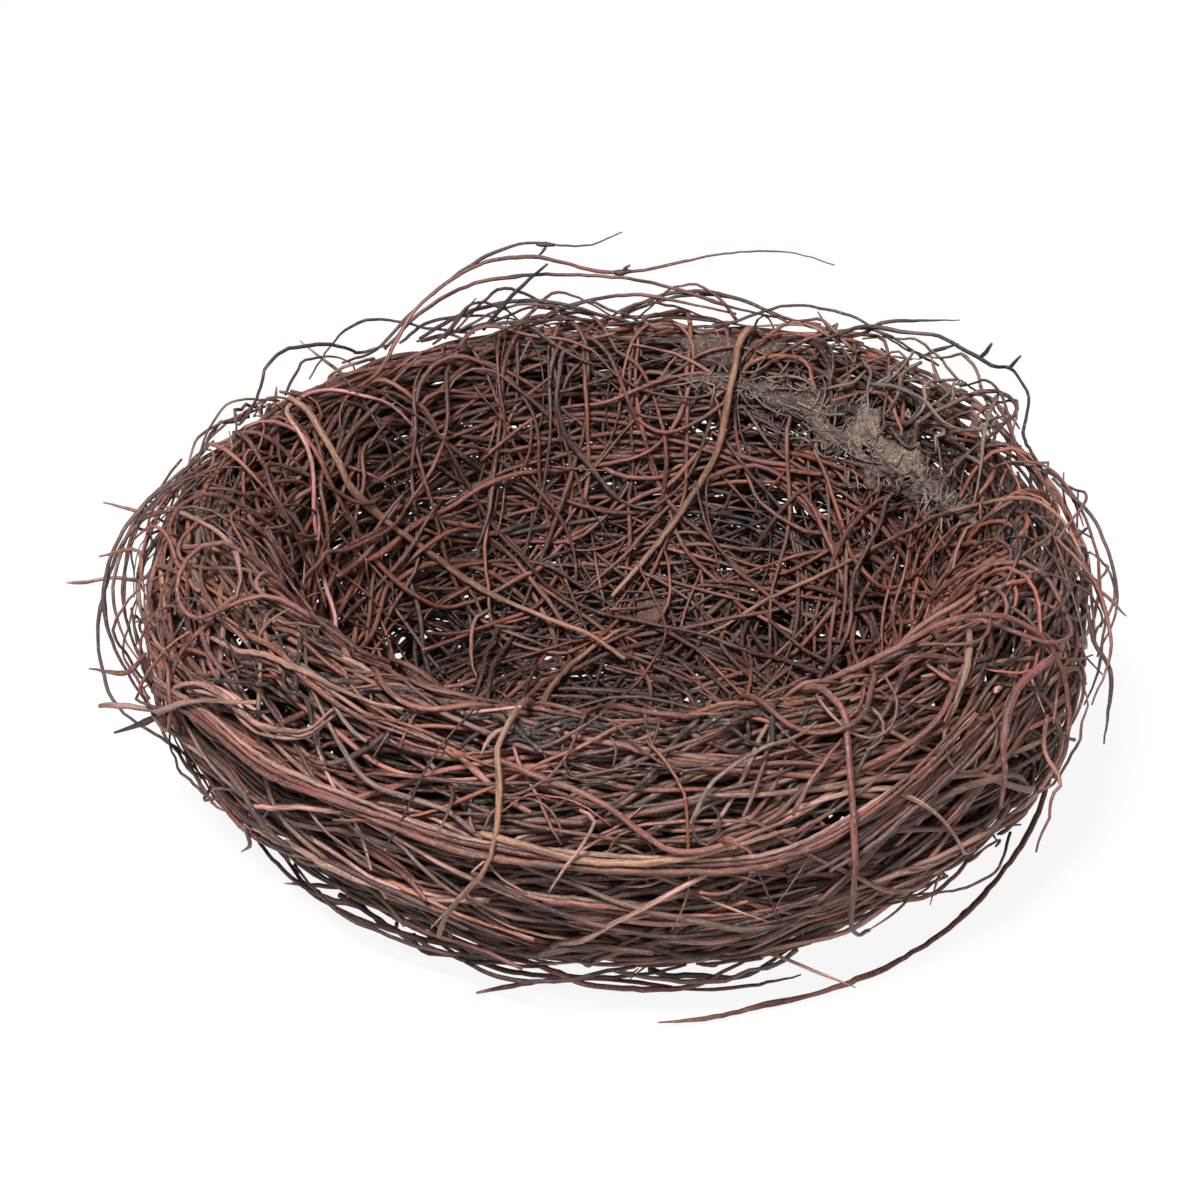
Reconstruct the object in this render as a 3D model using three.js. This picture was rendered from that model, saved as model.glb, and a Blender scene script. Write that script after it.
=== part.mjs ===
// An empty bird nest: a thick woven ring wall round a shallow cup, a mat of short twigs closing the
// cup, a strip of bark and a leaf chip caught in the lining, and the long stems that bind the wall
// or spring loose from it. Millimetres, +Z up, origin at the middle of the foot on the surface that
// the nest stands on, -Y towards the front.
import * as THREE from "three";

// ---- driving dimensions --------------------------------------------------------------------------
// Section of the nest: radius and height, before the plan's out-of-roundness is applied.
const OUTER = [[42.5, 0], [56.3, 4.8], [65.3, 12.2], [71.3, 22], [73.3, 32], [70.4, 41.4], [63, 48.2]];
const INNER = [[56, 45], [51, 38], [47, 27], [41, 16], [33, 9]];
const FLOOR = [[18, 7], [0, 6.5]];
const CREST = OUTER.length - 1; // control point at the top of the wall
const CUP_FOOT = CREST + INNER.length; // control point where the cup's wall meets its floor

// Out-of-roundness of the plan: factor on every radius at each eighth of a turn, from +X round +Y.
const PLAN = [0.988, 1.07, 0.965, 0.95, 0.957, 0.905, 0.95, 0.98];

const SEAT_GAP = 0.3; // air between pieces that lie on each other
const AROUND = 48; // facets round the nest
const SPAN_SAMPLES = 24; // samples in each span of the section curve
const STEM_SIDES = 6;
const STEM_STEP = 4.5; // length of one straight stretch of a stem

// Stem radii, from the thickest binder to a root hair.
const THICK = 0.66;
const MEDIUM = 0.56;
const SLIM = 0.44;
const FINE = 0.34;

// Finishes
const RUSSET = 0x70483e;
const TAN = 0x9a7058;
const UMBER = 0x4a3a36;
const GREY_BARK = 0x786c62;
const DRY_LEAF = 0x8a7040;

// ---- the nest's form -----------------------------------------------------------------------------
const radians = THREE.MathUtils.degToRad;

const planCurve = new THREE.CatmullRomCurve3(
  PLAN.map((factor) => new THREE.Vector3(factor, 0, 0)), true, "catmullrom", 0.5);

// Factor on the radius at an azimuth in degrees, 0 at +X and 90 at +Y.
function planFactor(azimuth) {
  const turn = azimuth / 360;
  return planCurve.getPoint(turn - Math.floor(turn)).x;
}

const sectionCurve = new THREE.CatmullRomCurve3(
  [...OUTER, ...INNER, ...FLOOR].map(([radius, height]) => new THREE.Vector3(radius, height, 0)),
  false, "catmullrom", 0.5);

// The section sampled with its stations: 0 at the foot, 1 at the crest, 2 where the cup's wall meets
// its floor and 3 in the middle of the floor, by length along the curve between those.
function sampleSection() {
  const spans = sectionCurve.points.length - 1;
  const samples = sectionCurve.getPoints(spans * SPAN_SAMPLES);
  const marks = [0, CREST, CUP_FOOT, spans].map((mark) => mark * SPAN_SAMPLES);
  const stations = new Array(samples.length).fill(0);
  for (let part = 0; part < marks.length - 1; part++) {
    let travelled = 0;
    for (let i = marks[part] + 1; i <= marks[part + 1]; i++) {
      travelled += samples[i].distanceTo(samples[i - 1]);
      stations[i] = travelled;
    }
    for (let i = marks[part] + 1; i <= marks[part + 1]; i++) {
      stations[i] = part + stations[i] / travelled;
    }
  }
  return { samples, stations };
}

const section = sampleSection();

// Radius and height at a station, raised off the skin by lift.
function skin(station, lift) {
  const { samples, stations } = section;
  let i = stations.findIndex((value) => value > station);
  if (i < 1) i = i === 0 ? 1 : samples.length - 1;
  const share = (station - stations[i - 1]) / (stations[i] - stations[i - 1]);
  const spot = samples[i - 1].clone().lerp(samples[i], share);
  const along = samples[Math.min(i + 1, samples.length - 1)].clone().sub(samples[i - 1]).normalize();
  return [spot.x + lift * along.y, spot.y - lift * along.x];
}

// A point over the nest's surface.
function onNest(azimuth, station, lift) {
  const [radius, height] = skin(station, lift);
  const reach = radius * planFactor(azimuth);
  const turn = radians(azimuth);
  return new THREE.Vector3(reach * Math.cos(turn), reach * Math.sin(turn), height);
}

const free = (x, y, z) => new THREE.Vector3(x, y, z);

// ---- builders ------------------------------------------------------------------------------------
const nest = new THREE.Group();

function add(name, geometry, color, roughness = 0.75) {
  const material = new THREE.MeshStandardMaterial({ color, roughness, metalness: 0 });
  const mesh = new THREE.Mesh(geometry, material);
  mesh.name = name;
  nest.add(mesh);
}

// A ring or disc turned from a profile, stood upright and pulled to the nest's plan.
function turned(profile) {
  const geometry = new THREE.LatheGeometry(profile, AROUND);
  geometry.rotateX(Math.PI / 2);
  const places = geometry.getAttribute("position");
  for (let i = 0; i < places.count; i++) {
    const azimuth = THREE.MathUtils.radToDeg(Math.atan2(places.getY(i), places.getX(i)));
    const factor = planFactor(azimuth);
    places.setXY(i, places.getX(i) * factor, places.getY(i) * factor);
  }
  return geometry;
}

// A round stem of even thickness along a smooth curve through its route.
function stem(name, radius, color, route) {
  const path = new THREE.CatmullRomCurve3(route);
  const outline = new THREE.Shape();
  for (let side = 0; side < STEM_SIDES; side++) {
    const turn = (side / STEM_SIDES) * Math.PI * 2;
    if (side === 0) outline.moveTo(radius, 0);
    else outline.lineTo(radius * Math.cos(turn), radius * Math.sin(turn));
  }
  const steps = Math.max(3, Math.round(path.getLength() / STEM_STEP));
  add(name, new THREE.ExtrudeGeometry(outline, { steps, extrudePath: path }), color);
}

// A thin plate laid on the nest: its middle line runs through spine, rows of azimuth, station and
// half-width in stations, and it is thick millimetres deep above a lift.
function plate(name, color, spine, lift, thick, lengthSteps, widthSteps) {
  const line = new THREE.CatmullRomCurve3(spine.map((row) => new THREE.Vector3(...row)));
  const geometry = new THREE.BoxGeometry(1, 1, 1, lengthSteps, widthSteps, 1);
  const places = geometry.getAttribute("position");
  for (let i = 0; i < places.count; i++) {
    const row = line.getPoint(places.getX(i) + 0.5);
    const station = row.y + places.getY(i) * 2 * row.z;
    const spot = onNest(row.x, station, lift + (0.5 - places.getZ(i)) * thick);
    places.setXYZ(i, spot.x, spot.y, spot.z);
  }
  add(name, geometry, color, 0.9);
}

// ---- wall and floor ------------------------------------------------------------------------------
const WALL_STATIONS = [0, 0.12, 0.24, 0.38, 0.52, 0.66, 0.8, 0.9, 1, 1.1, 1.22, 1.36, 1.52, 1.68, 1.84, 2];
const FLOOR_STATIONS = [2, 2.3, 2.65, 3];

const onSection = (station) => new THREE.Vector2(...skin(station, 0));
const wallProfile = WALL_STATIONS.map(onSection);
const cupFootRadius = INNER[INNER.length - 1][0];
wallProfile.push(new THREE.Vector2(cupFootRadius, 0), wallProfile[0].clone());
add("woven_wall", turned(wallProfile), RUSSET);

const matRadius = cupFootRadius - SEAT_GAP;
const floorProfile = [new THREE.Vector2(0, 0), new THREE.Vector2(matRadius, 0)];
for (const station of FLOOR_STATIONS) {
  const spot = onSection(station);
  floorProfile.push(new THREE.Vector2(Math.min(spot.x, matRadius), spot.y));
}
add("floor_mat", turned(floorProfile), UMBER);

// ---- what is caught in the lining ------------------------------------------------------------------
plate("bark_strip", GREY_BARK, [
  [76, 1.23, 0.03], [64, 1.237, 0.04], [53, 1.275, 0.07], [42, 1.308, 0.088],
  [29, 1.304, 0.078], [22, 1.284, 0.06], [16, 1.262, 0.044],
], 1.0, 0.9, 24, 4);
plate("leaf_chip", DRY_LEAF, [[83, 1.955, 0.055], [78, 1.965, 0.07], [73, 1.975, 0.06]], 1.0, 0.6, 4, 3);

// ---- binders: stems laid over the weave ------------------------------------------------------------
stem("back_binder", THICK, TAN, [
  onNest(67.9, 1.06, 1.6), onNest(68.2, 1.12, 2.8), onNest(67.3, 1.2, 3.8), onNest(67.4, 1.28, 3.5),
  onNest(68.3, 1.42, 1.9), onNest(71.5, 1.56, 1.7), onNest(75.9, 1.69, 1.8), onNest(82.1, 1.82, 1.9),
  onNest(88.7, 1.93, 2.0),
]);
stem("diagonal_binder", THICK, TAN, [
  onNest(147.7, 1.03, 1.5), onNest(147.4, 1.09, 1.5), onNest(148.6, 1.22, 1.6), onNest(148.2, 1.35, 1.7),
  onNest(142.2, 1.49, 1.7), onNest(132.7, 1.67, 1.8), onNest(123.3, 1.83, 2.0), onNest(111.5, 1.98, 2.8),
  onNest(96.7, 2.25, 4.0), onNest(81.4, 2.44, 3.4),
]);
stem("left_binder", MEDIUM, TAN, [
  onNest(84.4, 2.1, 1.6), onNest(95.9, 2.25, 1.5), onNest(127.6, 2.52, 1.4), onNest(190, 2.65, 1.4),
  onNest(243, 2.3, 1.5), onNest(256, 1.98, 2.0), onNest(259, 1.78, 1.9), onNest(260, 1.55, 1.8),
  onNest(259, 1.3, 1.7), onNest(258.5, 1.12, 1.6), onNest(258, 1.0, 1.5), onNest(256.9, 0.93, 1.4),
  onNest(257.7, 0.86, 1.3), onNest(257.6, 0.77, 1.3), onNest(256.4, 0.695, 1.3), onNest(253.5, 0.62, 1.3),
  onNest(250.5, 0.52, 1.3), onNest(248.7, 0.44, 1.3),
]);
stem("right_binder", MEDIUM, RUSSET, [
  onNest(296, 1.14, 1.6), onNest(298.2, 1.04, 1.5), onNest(298.8, 0.97, 1.4), onNest(298, 0.92, 1.3),
  onNest(296.8, 0.82, 1.3), onNest(296.6, 0.7, 1.3), onNest(297.2, 0.58, 1.3), onNest(299.5, 0.45, 1.3),
  onNest(303, 0.36, 1.3), onNest(307, 0.3, 1.3),
]);
stem("right_arch", SLIM, TAN, [
  onNest(60.5, 2.14, 1.5), onNest(55, 1.99, 1.9), onNest(49.4, 1.87, 1.9), onNest(39.5, 1.72, 1.7),
  onNest(29.7, 1.56, 1.7), onNest(17.2, 1.37, 1.9), onNest(10, 1.27, 2.4), onNest(4.6, 1.18, 1.9),
  onNest(359, 1.02, 1.6), onNest(357, 0.94, 1.5), onNest(353, 0.88, 1.4), onNest(350.7, 0.81, 1.6),
  onNest(350.5, 0.75, 1.9),
]);
stem("rim_hoop", MEDIUM, RUSSET, [
  onNest(300, 1.13, 1.6), onNest(306.5, 1.12, 1.8), onNest(311.5, 1.06, 2.6), onNest(316, 1.04, 3.4),
  onNest(320.5, 1.02, 3.8), onNest(325.5, 0.99, 3.6), onNest(329.5, 0.94, 2.6), onNest(331.8, 0.87, 1.7),
  onNest(331.8, 0.78, 1.3), onNest(331, 0.68, 1.3), onNest(330, 0.6, 1.3),
]);
stem("left_knot", MEDIUM, TAN, [
  free(-73.6, -19.2, 25.6), free(-70.9, -20.8, 26.8), onNest(198.5, 0.635, 1.6), onNest(203.5, 0.68, 1.4),
  onNest(208.5, 0.74, 1.4), onNest(213, 0.785, 1.4), onNest(218, 0.82, 1.4), onNest(222.5, 0.85, 1.4),
]);

// ---- tendrils: stems that spring clear of the rim ----------------------------------------------------
stem("tall_tendril", FINE, RUSSET, [
  onNest(134, 1.0, 1.4), onNest(127.5, 1.0, 1.6), free(-31.5, 52, 53.8), free(-27.5, 54, 56.8),
  free(-21.9, 56, 60.4), free(-17.1, 57, 62.7), free(-12.4, 58, 63.5), free(-7.6, 58, 63.1),
  free(-2.8, 58, 63.1), free(2.3, 58, 65.4),
]);
stem("long_tendril", FINE, UMBER, [
  onNest(135, 1.1, 1.6), onNest(129.5, 1.07, 1.8), free(-31, 49, 55.2), free(-24.9, 52, 59.8),
  free(-18.6, 54, 62.2), free(-11.5, 55, 62.4), free(-6.8, 55, 61.4), free(-1.2, 55, 59.8),
  free(5.2, 55, 60), free(11.5, 55, 61.5), free(17.8, 55, 62.9), free(24.2, 55, 63.5),
  free(30.5, 55, 62.9), free(36.1, 55, 61),
]);
stem("arched_tendril", FINE, RUSSET, [
  onNest(124, 0.94, 1.4), free(-29.5, 55.2, 52.9), free(-22.1, 58, 56.1), free(-14, 58.5, 57.5),
  free(-7.6, 58.5, 57.7), free(0.4, 58, 57.6), free(6.8, 57, 57), free(13.2, 56.5, 55.4),
  free(19.6, 56.4, 53), onNest(66, 0.97, 1.5), onNest(60, 0.96, 1.4),
]);
stem("left_loop", FINE, UMBER, [
  onNest(158, 1.0, 1.3), onNest(154.5, 1.0, 1.8), free(-52.8, 25, 54.6), free(-51.9, 26, 57.4),
  free(-49.8, 30, 58.1), free(-46.5, 33, 57.6), free(-42.9, 36, 56.4), free(-39.9, 38.6, 54.2),
  onNest(132.5, 1.03, 3.4), onNest(128, 1.05, 4.6),
]);
stem("back_spur", FINE, UMBER, [
  onNest(56, 1.03, 1.4), onNest(52, 1.03, 2.2), free(44, 50, 53.4), free(50, 51, 53.2), free(56.2, 52, 52.8),
]);
stem("thorny_tendril", SLIM, UMBER, [
  onNest(57, 1.07, 1.6), free(40.6, 50, 52.6), free(46.5, 47, 53.2), free(51.8, 44.5, 53.7),
  free(55, 42, 53), free(58, 39.5, 52.4), free(60.2, 37, 52.1), free(62, 33.4, 53.6), free(63.3, 29.6, 53.4),
  free(64.2, 25.6, 52.2), onNest(18.3, 0.985, 1.7), onNest(13.5, 0.99, 1.5), onNest(8, 0.97, 1.3),
]);
stem("side_loop", FINE, UMBER, [
  onNest(162, 0.97, 1.3), onNest(167.4, 0.94, 1.2), onNest(171.3, 0.91, 1.4), onNest(174.4, 0.86, 1.9),
  free(-72, 4, 39.8), free(-74.2, 2, 35.4), free(-75.6, 0, 30.9), free(-76, -2.4, 26.9),
  free(-75.2, -5.4, 22.8), free(-72.4, -9.4, 18.6), onNest(192, 0.42, 1.3), onNest(197, 0.4, 1.1),
]);
stem("pale_wisp", FINE, TAN, [
  free(-81.6, 6, 31.4), free(-78.8, 8.6, 30), free(-75.6, 10.6, 29.6), onNest(170.5, 0.66, 1.5),
  onNest(165, 0.68, 1.1),
]);
stem("right_hanger", FINE, UMBER, [
  onNest(346, 0.84, 1.2), onNest(344, 0.77, 1.1), free(71.7, -21.4, 33.4), free(71.9, -22.4, 27.8),
  free(71.5, -23.4, 21.8),
]);
stem("right_hook", SLIM, RUSSET, [
  onNest(326.6, 0.78, 1.1), onNest(325, 0.72, 1.2), free(61.8, -45.8, 30.6), free(60.6, -46.9, 28.6),
  free(60.4, -47.3, 25.4), free(59.3, -47.9, 22.8), free(58.8, -48.8, 20.8),
]);

// ---- stems that lie round the foot -------------------------------------------------------------------
stem("front_base_stem", SLIM, RUSSET, [
  free(-18.4, -54.4, 0.8), free(-12.4, -52.6, 0.9), free(-6.8, -51.4, 0.9), free(-1.2, -51.3, 0.9),
  free(4.4, -52.3, 0.9), free(12.8, -53.8, 0.9), free(21.2, -52.6, 0.9), free(27, -50.4, 0.9),
]);
stem("left_base_stem", SLIM, TAN, [
  free(-46.8, -33, 4), onNest(219.5, 0.135, 2.2), onNest(226, 0.16, 1.5), onNest(233, 0.19, 1.3),
  onNest(240, 0.2, 1.2), onNest(248, 0.21, 1.2), onNest(255, 0.23, 1.2),
]);
stem("right_base_stem", MEDIUM, RUSSET, [
  free(6.8, -61.1, 0.9), free(13.9, -60.2, 1), free(21, -57.6, 1), free(29.7, -54.4, 1),
  free(38.6, -49.2, 1), free(47.6, -41.4, 1.4), free(55.4, -32, 2.6), free(62.4, -20.4, 4.6),
  free(66.4, -9.6, 6.6),
]);

export default nest;
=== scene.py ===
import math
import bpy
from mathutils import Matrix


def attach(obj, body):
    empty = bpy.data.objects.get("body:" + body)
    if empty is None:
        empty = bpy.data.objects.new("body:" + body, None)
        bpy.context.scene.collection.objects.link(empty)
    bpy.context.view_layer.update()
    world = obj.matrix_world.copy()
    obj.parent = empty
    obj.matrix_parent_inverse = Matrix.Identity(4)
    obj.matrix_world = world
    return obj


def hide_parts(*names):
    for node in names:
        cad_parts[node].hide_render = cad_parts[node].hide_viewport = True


bl_info = {
    "name": "Empty bird nest",
    "version": (1, 0, 0),
    "blender": (4, 5, 0),
    "location": "3D View > Sidebar > Nest",
    "description": "Weaves an empty bird nest stem by stem round its solid frame",
    "category": "Object",
}

from collections import namedtuple

import bmesh
import bpy
import numpy as np
from bpy.props import FloatProperty, FloatVectorProperty, IntProperty, PointerProperty
from mathutils import Vector, noise

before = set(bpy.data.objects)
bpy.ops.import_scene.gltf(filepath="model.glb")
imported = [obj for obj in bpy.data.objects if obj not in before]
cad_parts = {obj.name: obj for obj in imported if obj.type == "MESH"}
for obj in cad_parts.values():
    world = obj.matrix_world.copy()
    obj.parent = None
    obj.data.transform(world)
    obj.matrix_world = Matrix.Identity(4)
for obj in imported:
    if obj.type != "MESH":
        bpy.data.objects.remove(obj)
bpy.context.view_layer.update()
BODY = "root"
MM = 0.001  # routes and sections below are in millimetres, meshes in metres

# ---- the nest's form ---------------------------------------------------------------------------
# Section: radius and height. Stations run 0 at the foot, 1 on the crest, 2 where the cup's wall
# meets its floor and 3 in the middle of the floor; below 0 they run in under the foot.
OUTER = ((42.5, 0), (56.3, 4.8), (65.3, 12.2), (71.3, 22), (73.3, 32), (70.4, 41.4), (63, 48.2))
INNER = ((56, 45), (51, 38), (47, 27), (41, 16), (33, 9))
FLOOR = ((18, 7), (0, 6.5))
UNDER_RADIUS = 8
# Factor on every radius at each eighth of a turn, from +X round +Y.
PLAN = (0.988, 1.07, 0.965, 0.95, 0.957, 0.905, 0.95, 0.98)
SPAN_SAMPLES = 24  # points between two rows of the section
PLAN_SAMPLES = 45  # and between two factors of the plan
SECTION_BATCH = 8000  # points compared with the section at once, to save memory
WALL_RINGS = 2.4  # millimetres between the rings of a woven stem
FINE_RINGS = 1.3  # and of a stem laid along a given route
LAID_SAMPLES = 12  # points between two points of a given route
LEAST_RINGS = 6  # a woven stem with fewer is left out
UNDER_STRIP = 0.1  # how high the stems under the bark strip may lie
STRIP_MARGIN = 1.2  # and how wide the place is that they are kept low in, as a factor on the strip's width
LOOSE_LAYER = 2.2  # how far the outermost stems stand out of the close weave
FULL_TURN = 2 * math.pi

# One stem: the piece that it goes to, a point, a radius and a colour for each ring, and whether it
# stays where it was laid when the others are eased apart.
# Once the stems are laid, each ring's colour also holds its painted light and shade.
Stem = namedtuple("Stem", "group points radius colour held")


def smooth_line(points, samples=SPAN_SAMPLES, closed=False):
    """Rows along a Catmull-Rom curve through the points, samples to a span."""
    points = np.asarray(points, float).reshape(len(points), -1)
    if closed:
        padded = np.vstack([points[-1], points, points[:2]])
    else:
        padded = np.vstack([2 * points[0] - points[1], points, 2 * points[-1] - points[-2]])
    share = np.linspace(0, 1, samples, endpoint=False)[:, None]
    rows = []
    for a, b, c, d in zip(padded, padded[1:], padded[2:], padded[3:]):
        bend = (2 * a - 5 * b + 4 * c - d) * share**2 + (3 * b - a - 3 * c + d) * share**3
        rows.append(0.5 * (2 * b + (c - a) * share + bend))
    rows.append(padded[-2][None])
    return np.vstack(rows)


def travelled(line):
    """Distance along a line of points, from 0."""
    return np.concatenate([[0], np.cumsum(np.linalg.norm(np.diff(line, axis=0), axis=1))])


def evenly(line, step):
    """The same line with points a step apart."""
    along = travelled(line)
    marks = np.linspace(0, along[-1], max(4, round(along[-1] / step)) + 1)
    return np.stack([np.interp(marks, along, line[:, k]) for k in range(line.shape[1])], 1)


class Form:
    """The smooth shape that the stems are woven to."""

    def __init__(self):
        line = smooth_line(OUTER + INNER + FLOOR)
        marks = [0, len(OUTER) - 1, len(OUTER) + len(INNER) - 1, len(OUTER + INNER + FLOOR) - 1]
        marks = [mark * SPAN_SAMPLES for mark in marks]
        stations, self.lengths = np.zeros(len(line)), []
        for part, (start, stop) in enumerate(zip(marks, marks[1:])):
            along = travelled(line[start : stop + 1])
            stations[start : stop + 1] = part + along / along[-1]
            self.lengths.append(along[-1])
        under = np.array([[UNDER_RADIUS, 0.0]])
        self.lengths.append(OUTER[0][0] - UNDER_RADIUS)
        self.stations = np.concatenate([[-1.0], stations])
        self.line = np.vstack([under, line])
        slope = np.gradient(self.line, axis=0)
        slope /= np.linalg.norm(slope, axis=1)[:, None]
        self.normal = np.stack([slope[:, 1], -slope[:, 0]], 1)
        factors = smooth_line([(factor,) for factor in PLAN], PLAN_SAMPLES, closed=True)[:, 0]
        self.factors = factors[: len(PLAN) * PLAN_SAMPLES + 1]

    def plan(self, azimuth):
        """Factor on the radius at azimuths in degrees."""
        return np.interp(np.mod(azimuth, 360), np.linspace(0, 360, len(self.factors)), self.factors)

    def skin(self, station, lift):
        """Radius and height at stations, lifted off the skin."""
        def column(table, k):
            return np.interp(station, self.stations, table[:, k])
        radius = column(self.line, 0) + lift * column(self.normal, 0)
        height = column(self.line, 1) + lift * column(self.normal, 1)
        return radius, height

    def over(self, azimuth, station, lift):
        """Points over the nest."""
        radius, height = self.skin(station, lift)
        radius = radius * self.plan(azimuth)
        turn = np.radians(azimuth)
        return np.stack(np.broadcast_arrays(radius * np.cos(turn), radius * np.sin(turn), height), -1)

    def part_length(self, station):
        """Length of the section's part that a station is on."""
        foot, inside, floor, under = self.lengths
        return np.select([station < 0, station < 1, station < 2], [under, foot, inside], floor)

    def nearest(self, points):
        """How far points lie above the skin, below 0 inside the wall, and the station there."""
        azimuth = np.degrees(np.arctan2(points[:, 1], points[:, 0]))
        spot = np.stack([np.hypot(points[:, 0], points[:, 1]) / self.plan(azimuth), points[:, 2]], 1)
        lifts, stations = [], []
        for part in np.array_split(spot, max(1, len(spot) // SECTION_BATCH)):
            between = part[:, None] - self.line
            nearest = np.argmin(np.sum(between**2, 2), 1)
            rows = np.arange(len(part))
            lifts.append(np.sum(between[rows, nearest] * self.normal[nearest], 1))
            stations.append(self.stations[nearest])
        return np.concatenate(lifts), np.concatenate(stations)

    def cup_station(self, reach):
        """Station at a distance along the cup's skin from the middle of its floor."""
        outer, inner, floor, _ = self.lengths
        return np.interp(reach, [0, floor, floor + inner, floor + inner + outer], [3, 2, 1, 0])


FORM = Form()


def on(azimuth, station, lift):
    """A point of a route that lies on the nest."""
    return tuple(FORM.over(azimuth, station, lift))


# ---- what a user may change ----------------------------------------------------------------------
def shade(red, green, blue):
    """A colour as it is read off a colour card, in linear light."""
    def channel(value):
        value /= 255
        return value / 12.92 if value <= 0.04045 else ((value + 0.055) / 1.055) ** 2.4
    return tuple(channel(value) for value in (red, green, blue))


def colour_property(name, description, default):
    return FloatVectorProperty(name=name, description=description, default=default,
                               subtype="COLOR", size=3, min=0, max=1)


def length_property(name, description, default):
    return FloatProperty(name=name, description=description, default=default,
                         unit="LENGTH", subtype="DISTANCE", precision=5)


class NestStems(bpy.types.PropertyGroup):
    """How thick the stems are and how many are woven."""

    thick: length_property("Thick", "Radius of the thick binders", 0.58 * MM)
    medium: length_property("Medium", "Radius of the common stems", 0.46 * MM)
    slim: length_property("Slim", "Radius of the slim stems", 0.35 * MM)
    fine: length_property("Fine", "Radius of the fine twigs", 0.3 * MM)
    hair: length_property("Hair", "Radius of the root hairs", 0.16 * MM)
    coil_count: IntProperty(name="Coils", description="Stems coiled round the outside", default=316)
    packing_count: IntProperty(name="Packing", description="Stems packed under them", default=165)
    rim_count: IntProperty(name="Rim", description="Stems along the rim", default=60)
    lining_count: IntProperty(name="Lining", description="Stems round the cup", default=165)
    twig_count: IntProperty(name="Twigs", description="Crossing twigs in the cup", default=150)
    hair_count: IntProperty(name="Hairs", description="Root hairs", default=110)
    seed: IntProperty(name="Seed", description="Start of the random draws", default=11)


class NestColours(bpy.types.PropertyGroup):
    """Colours of the stems and of what is caught between them."""

    russet: colour_property("Russet", "Common reddish-brown bark", shade(102, 59, 50))
    tan: colour_property("Tan", "Pale pinkish-tan bark", shade(138, 102, 90))
    ember: colour_property("Ember", "Orange-brown peeled stems", shade(110, 63, 47))
    buff: colour_property("Buff", "Warm brown bark of the binders", shade(122, 86, 68))
    umber: colour_property("Umber", "Dark brown bark", shade(59, 40, 38))
    ash: colour_property("Ash", "Grey-brown roots", shade(98, 78, 68))
    # The soot colour also gives the painted shade in the bark strip's hollows.
    soot: colour_property("Soot", "Black crust", shade(33, 26, 23))
    lichen: colour_property("Lichen", "Pale crust", shade(148, 137, 124))
    bark: colour_property("Bark strip", "Torn grey-tan bark", shade(88, 76, 68))
    leaf: colour_property("Leaf", "Dry leaf", shade(72, 57, 41))


class NestStage(bpy.types.PropertyGroup):
    """Camera, floor and lamps."""

    eye_height: FloatProperty(name="Elevation", description="Camera above the horizon",
                              default=math.radians(31), unit="ROTATION", subtype="ANGLE")
    eye_distance: length_property("Distance", "Camera to the middle of the nest", 0.48)
    lens: FloatProperty(name="Lens", description="Focal length in millimetres", default=96)
    floor: colour_property("Floor", "Pale floor", (0.06, 0.06, 0.06))
    glow: FloatProperty(name="Glow", description="Light that the floor gives off", default=0.9)
    floor_size: length_property("Floor size", "Side of the floor", 60.0)
    sky: FloatProperty(name="Sky", description="Strength of the even light", default=0.22)
    key: FloatProperty(name="Key", description="Key lamp", default=19.5, unit="POWER")


# ---- laying stems ----------------------------------------------------------------------------------
def thickness(rng, radius, count, start_taper=0.75, end_taper=0.55):
    """A stem's radius at each ring: it thins towards its tip, wavers and swells at a few nodes."""
    along = np.linspace(0, 1, count)
    taper = np.interp(along, [0, 0.08, 0.6, 1], [start_taper, 1, 0.95, end_taper])
    knots = rng.normal(0, 0.12, max(3, count // 4))
    waver = np.interp(along, np.linspace(0, 1, len(knots)), knots)
    swelling = np.zeros(count)
    for node in rng.integers(0, count, rng.poisson(count / 45)):
        swelling[node] = rng.uniform(0.15, 0.4)
    return radius * taper * (1 + waver + swelling)


BRIGHTEST = 1.7  # of all stems, as a factor on the bark's colour


def bark_colour(rng, colours, shares):
    """One stem's bark, picked by shares of russet, tan, ember, umber and ash."""
    kinds = [colours.russet, colours.tan, colours.ember, colours.umber, colours.ash]
    pair = rng.choice(len(kinds), 2, p=np.array(shares) / sum(shares))
    blend = rng.uniform(0, 0.35)
    colour = np.array(kinds[pair[0]]) * (1 - blend) + np.array(kinds[pair[1]]) * blend
    brightness = min(rng.lognormal(0.02, 0.4), BRIGHTEST)
    return colour * brightness * rng.normal(1, (0.0, 0.04, 0.08))


def wiggle(rng, count, reach):
    """Small smooth bends, each a few rings long."""
    steps = rng.normal(0, reach, (count + 4, 3))
    return (steps[:-4] + 2 * steps[1:-3] + 3 * steps[2:-2] + 2 * steps[3:-1] + steps[4:]) / 9


# Shares of russet, tan, ember, umber and ash bark among the stems of a bundle.
WEATHERED = (46, 20, 9, 19, 6)
WARM = (46, 1, 40, 13, 0)
EARTHY = (40, 1, 24, 30, 5)
DARK = (30, 2, 6, 52, 10)
CURLED = (40, 14, 0, 36, 10)

# Stems that are woven alike: how many, their lengths and radii, where they start, how deep they lie,
# how they wander, and the share of their ends that spring free. Stations are distances from the
# middle of the floor for the twigs in the cup.
Bundle = namedtuple(
    "Bundle", "group count length radius stations lift tilt waviness kink shares free_end")


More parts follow.
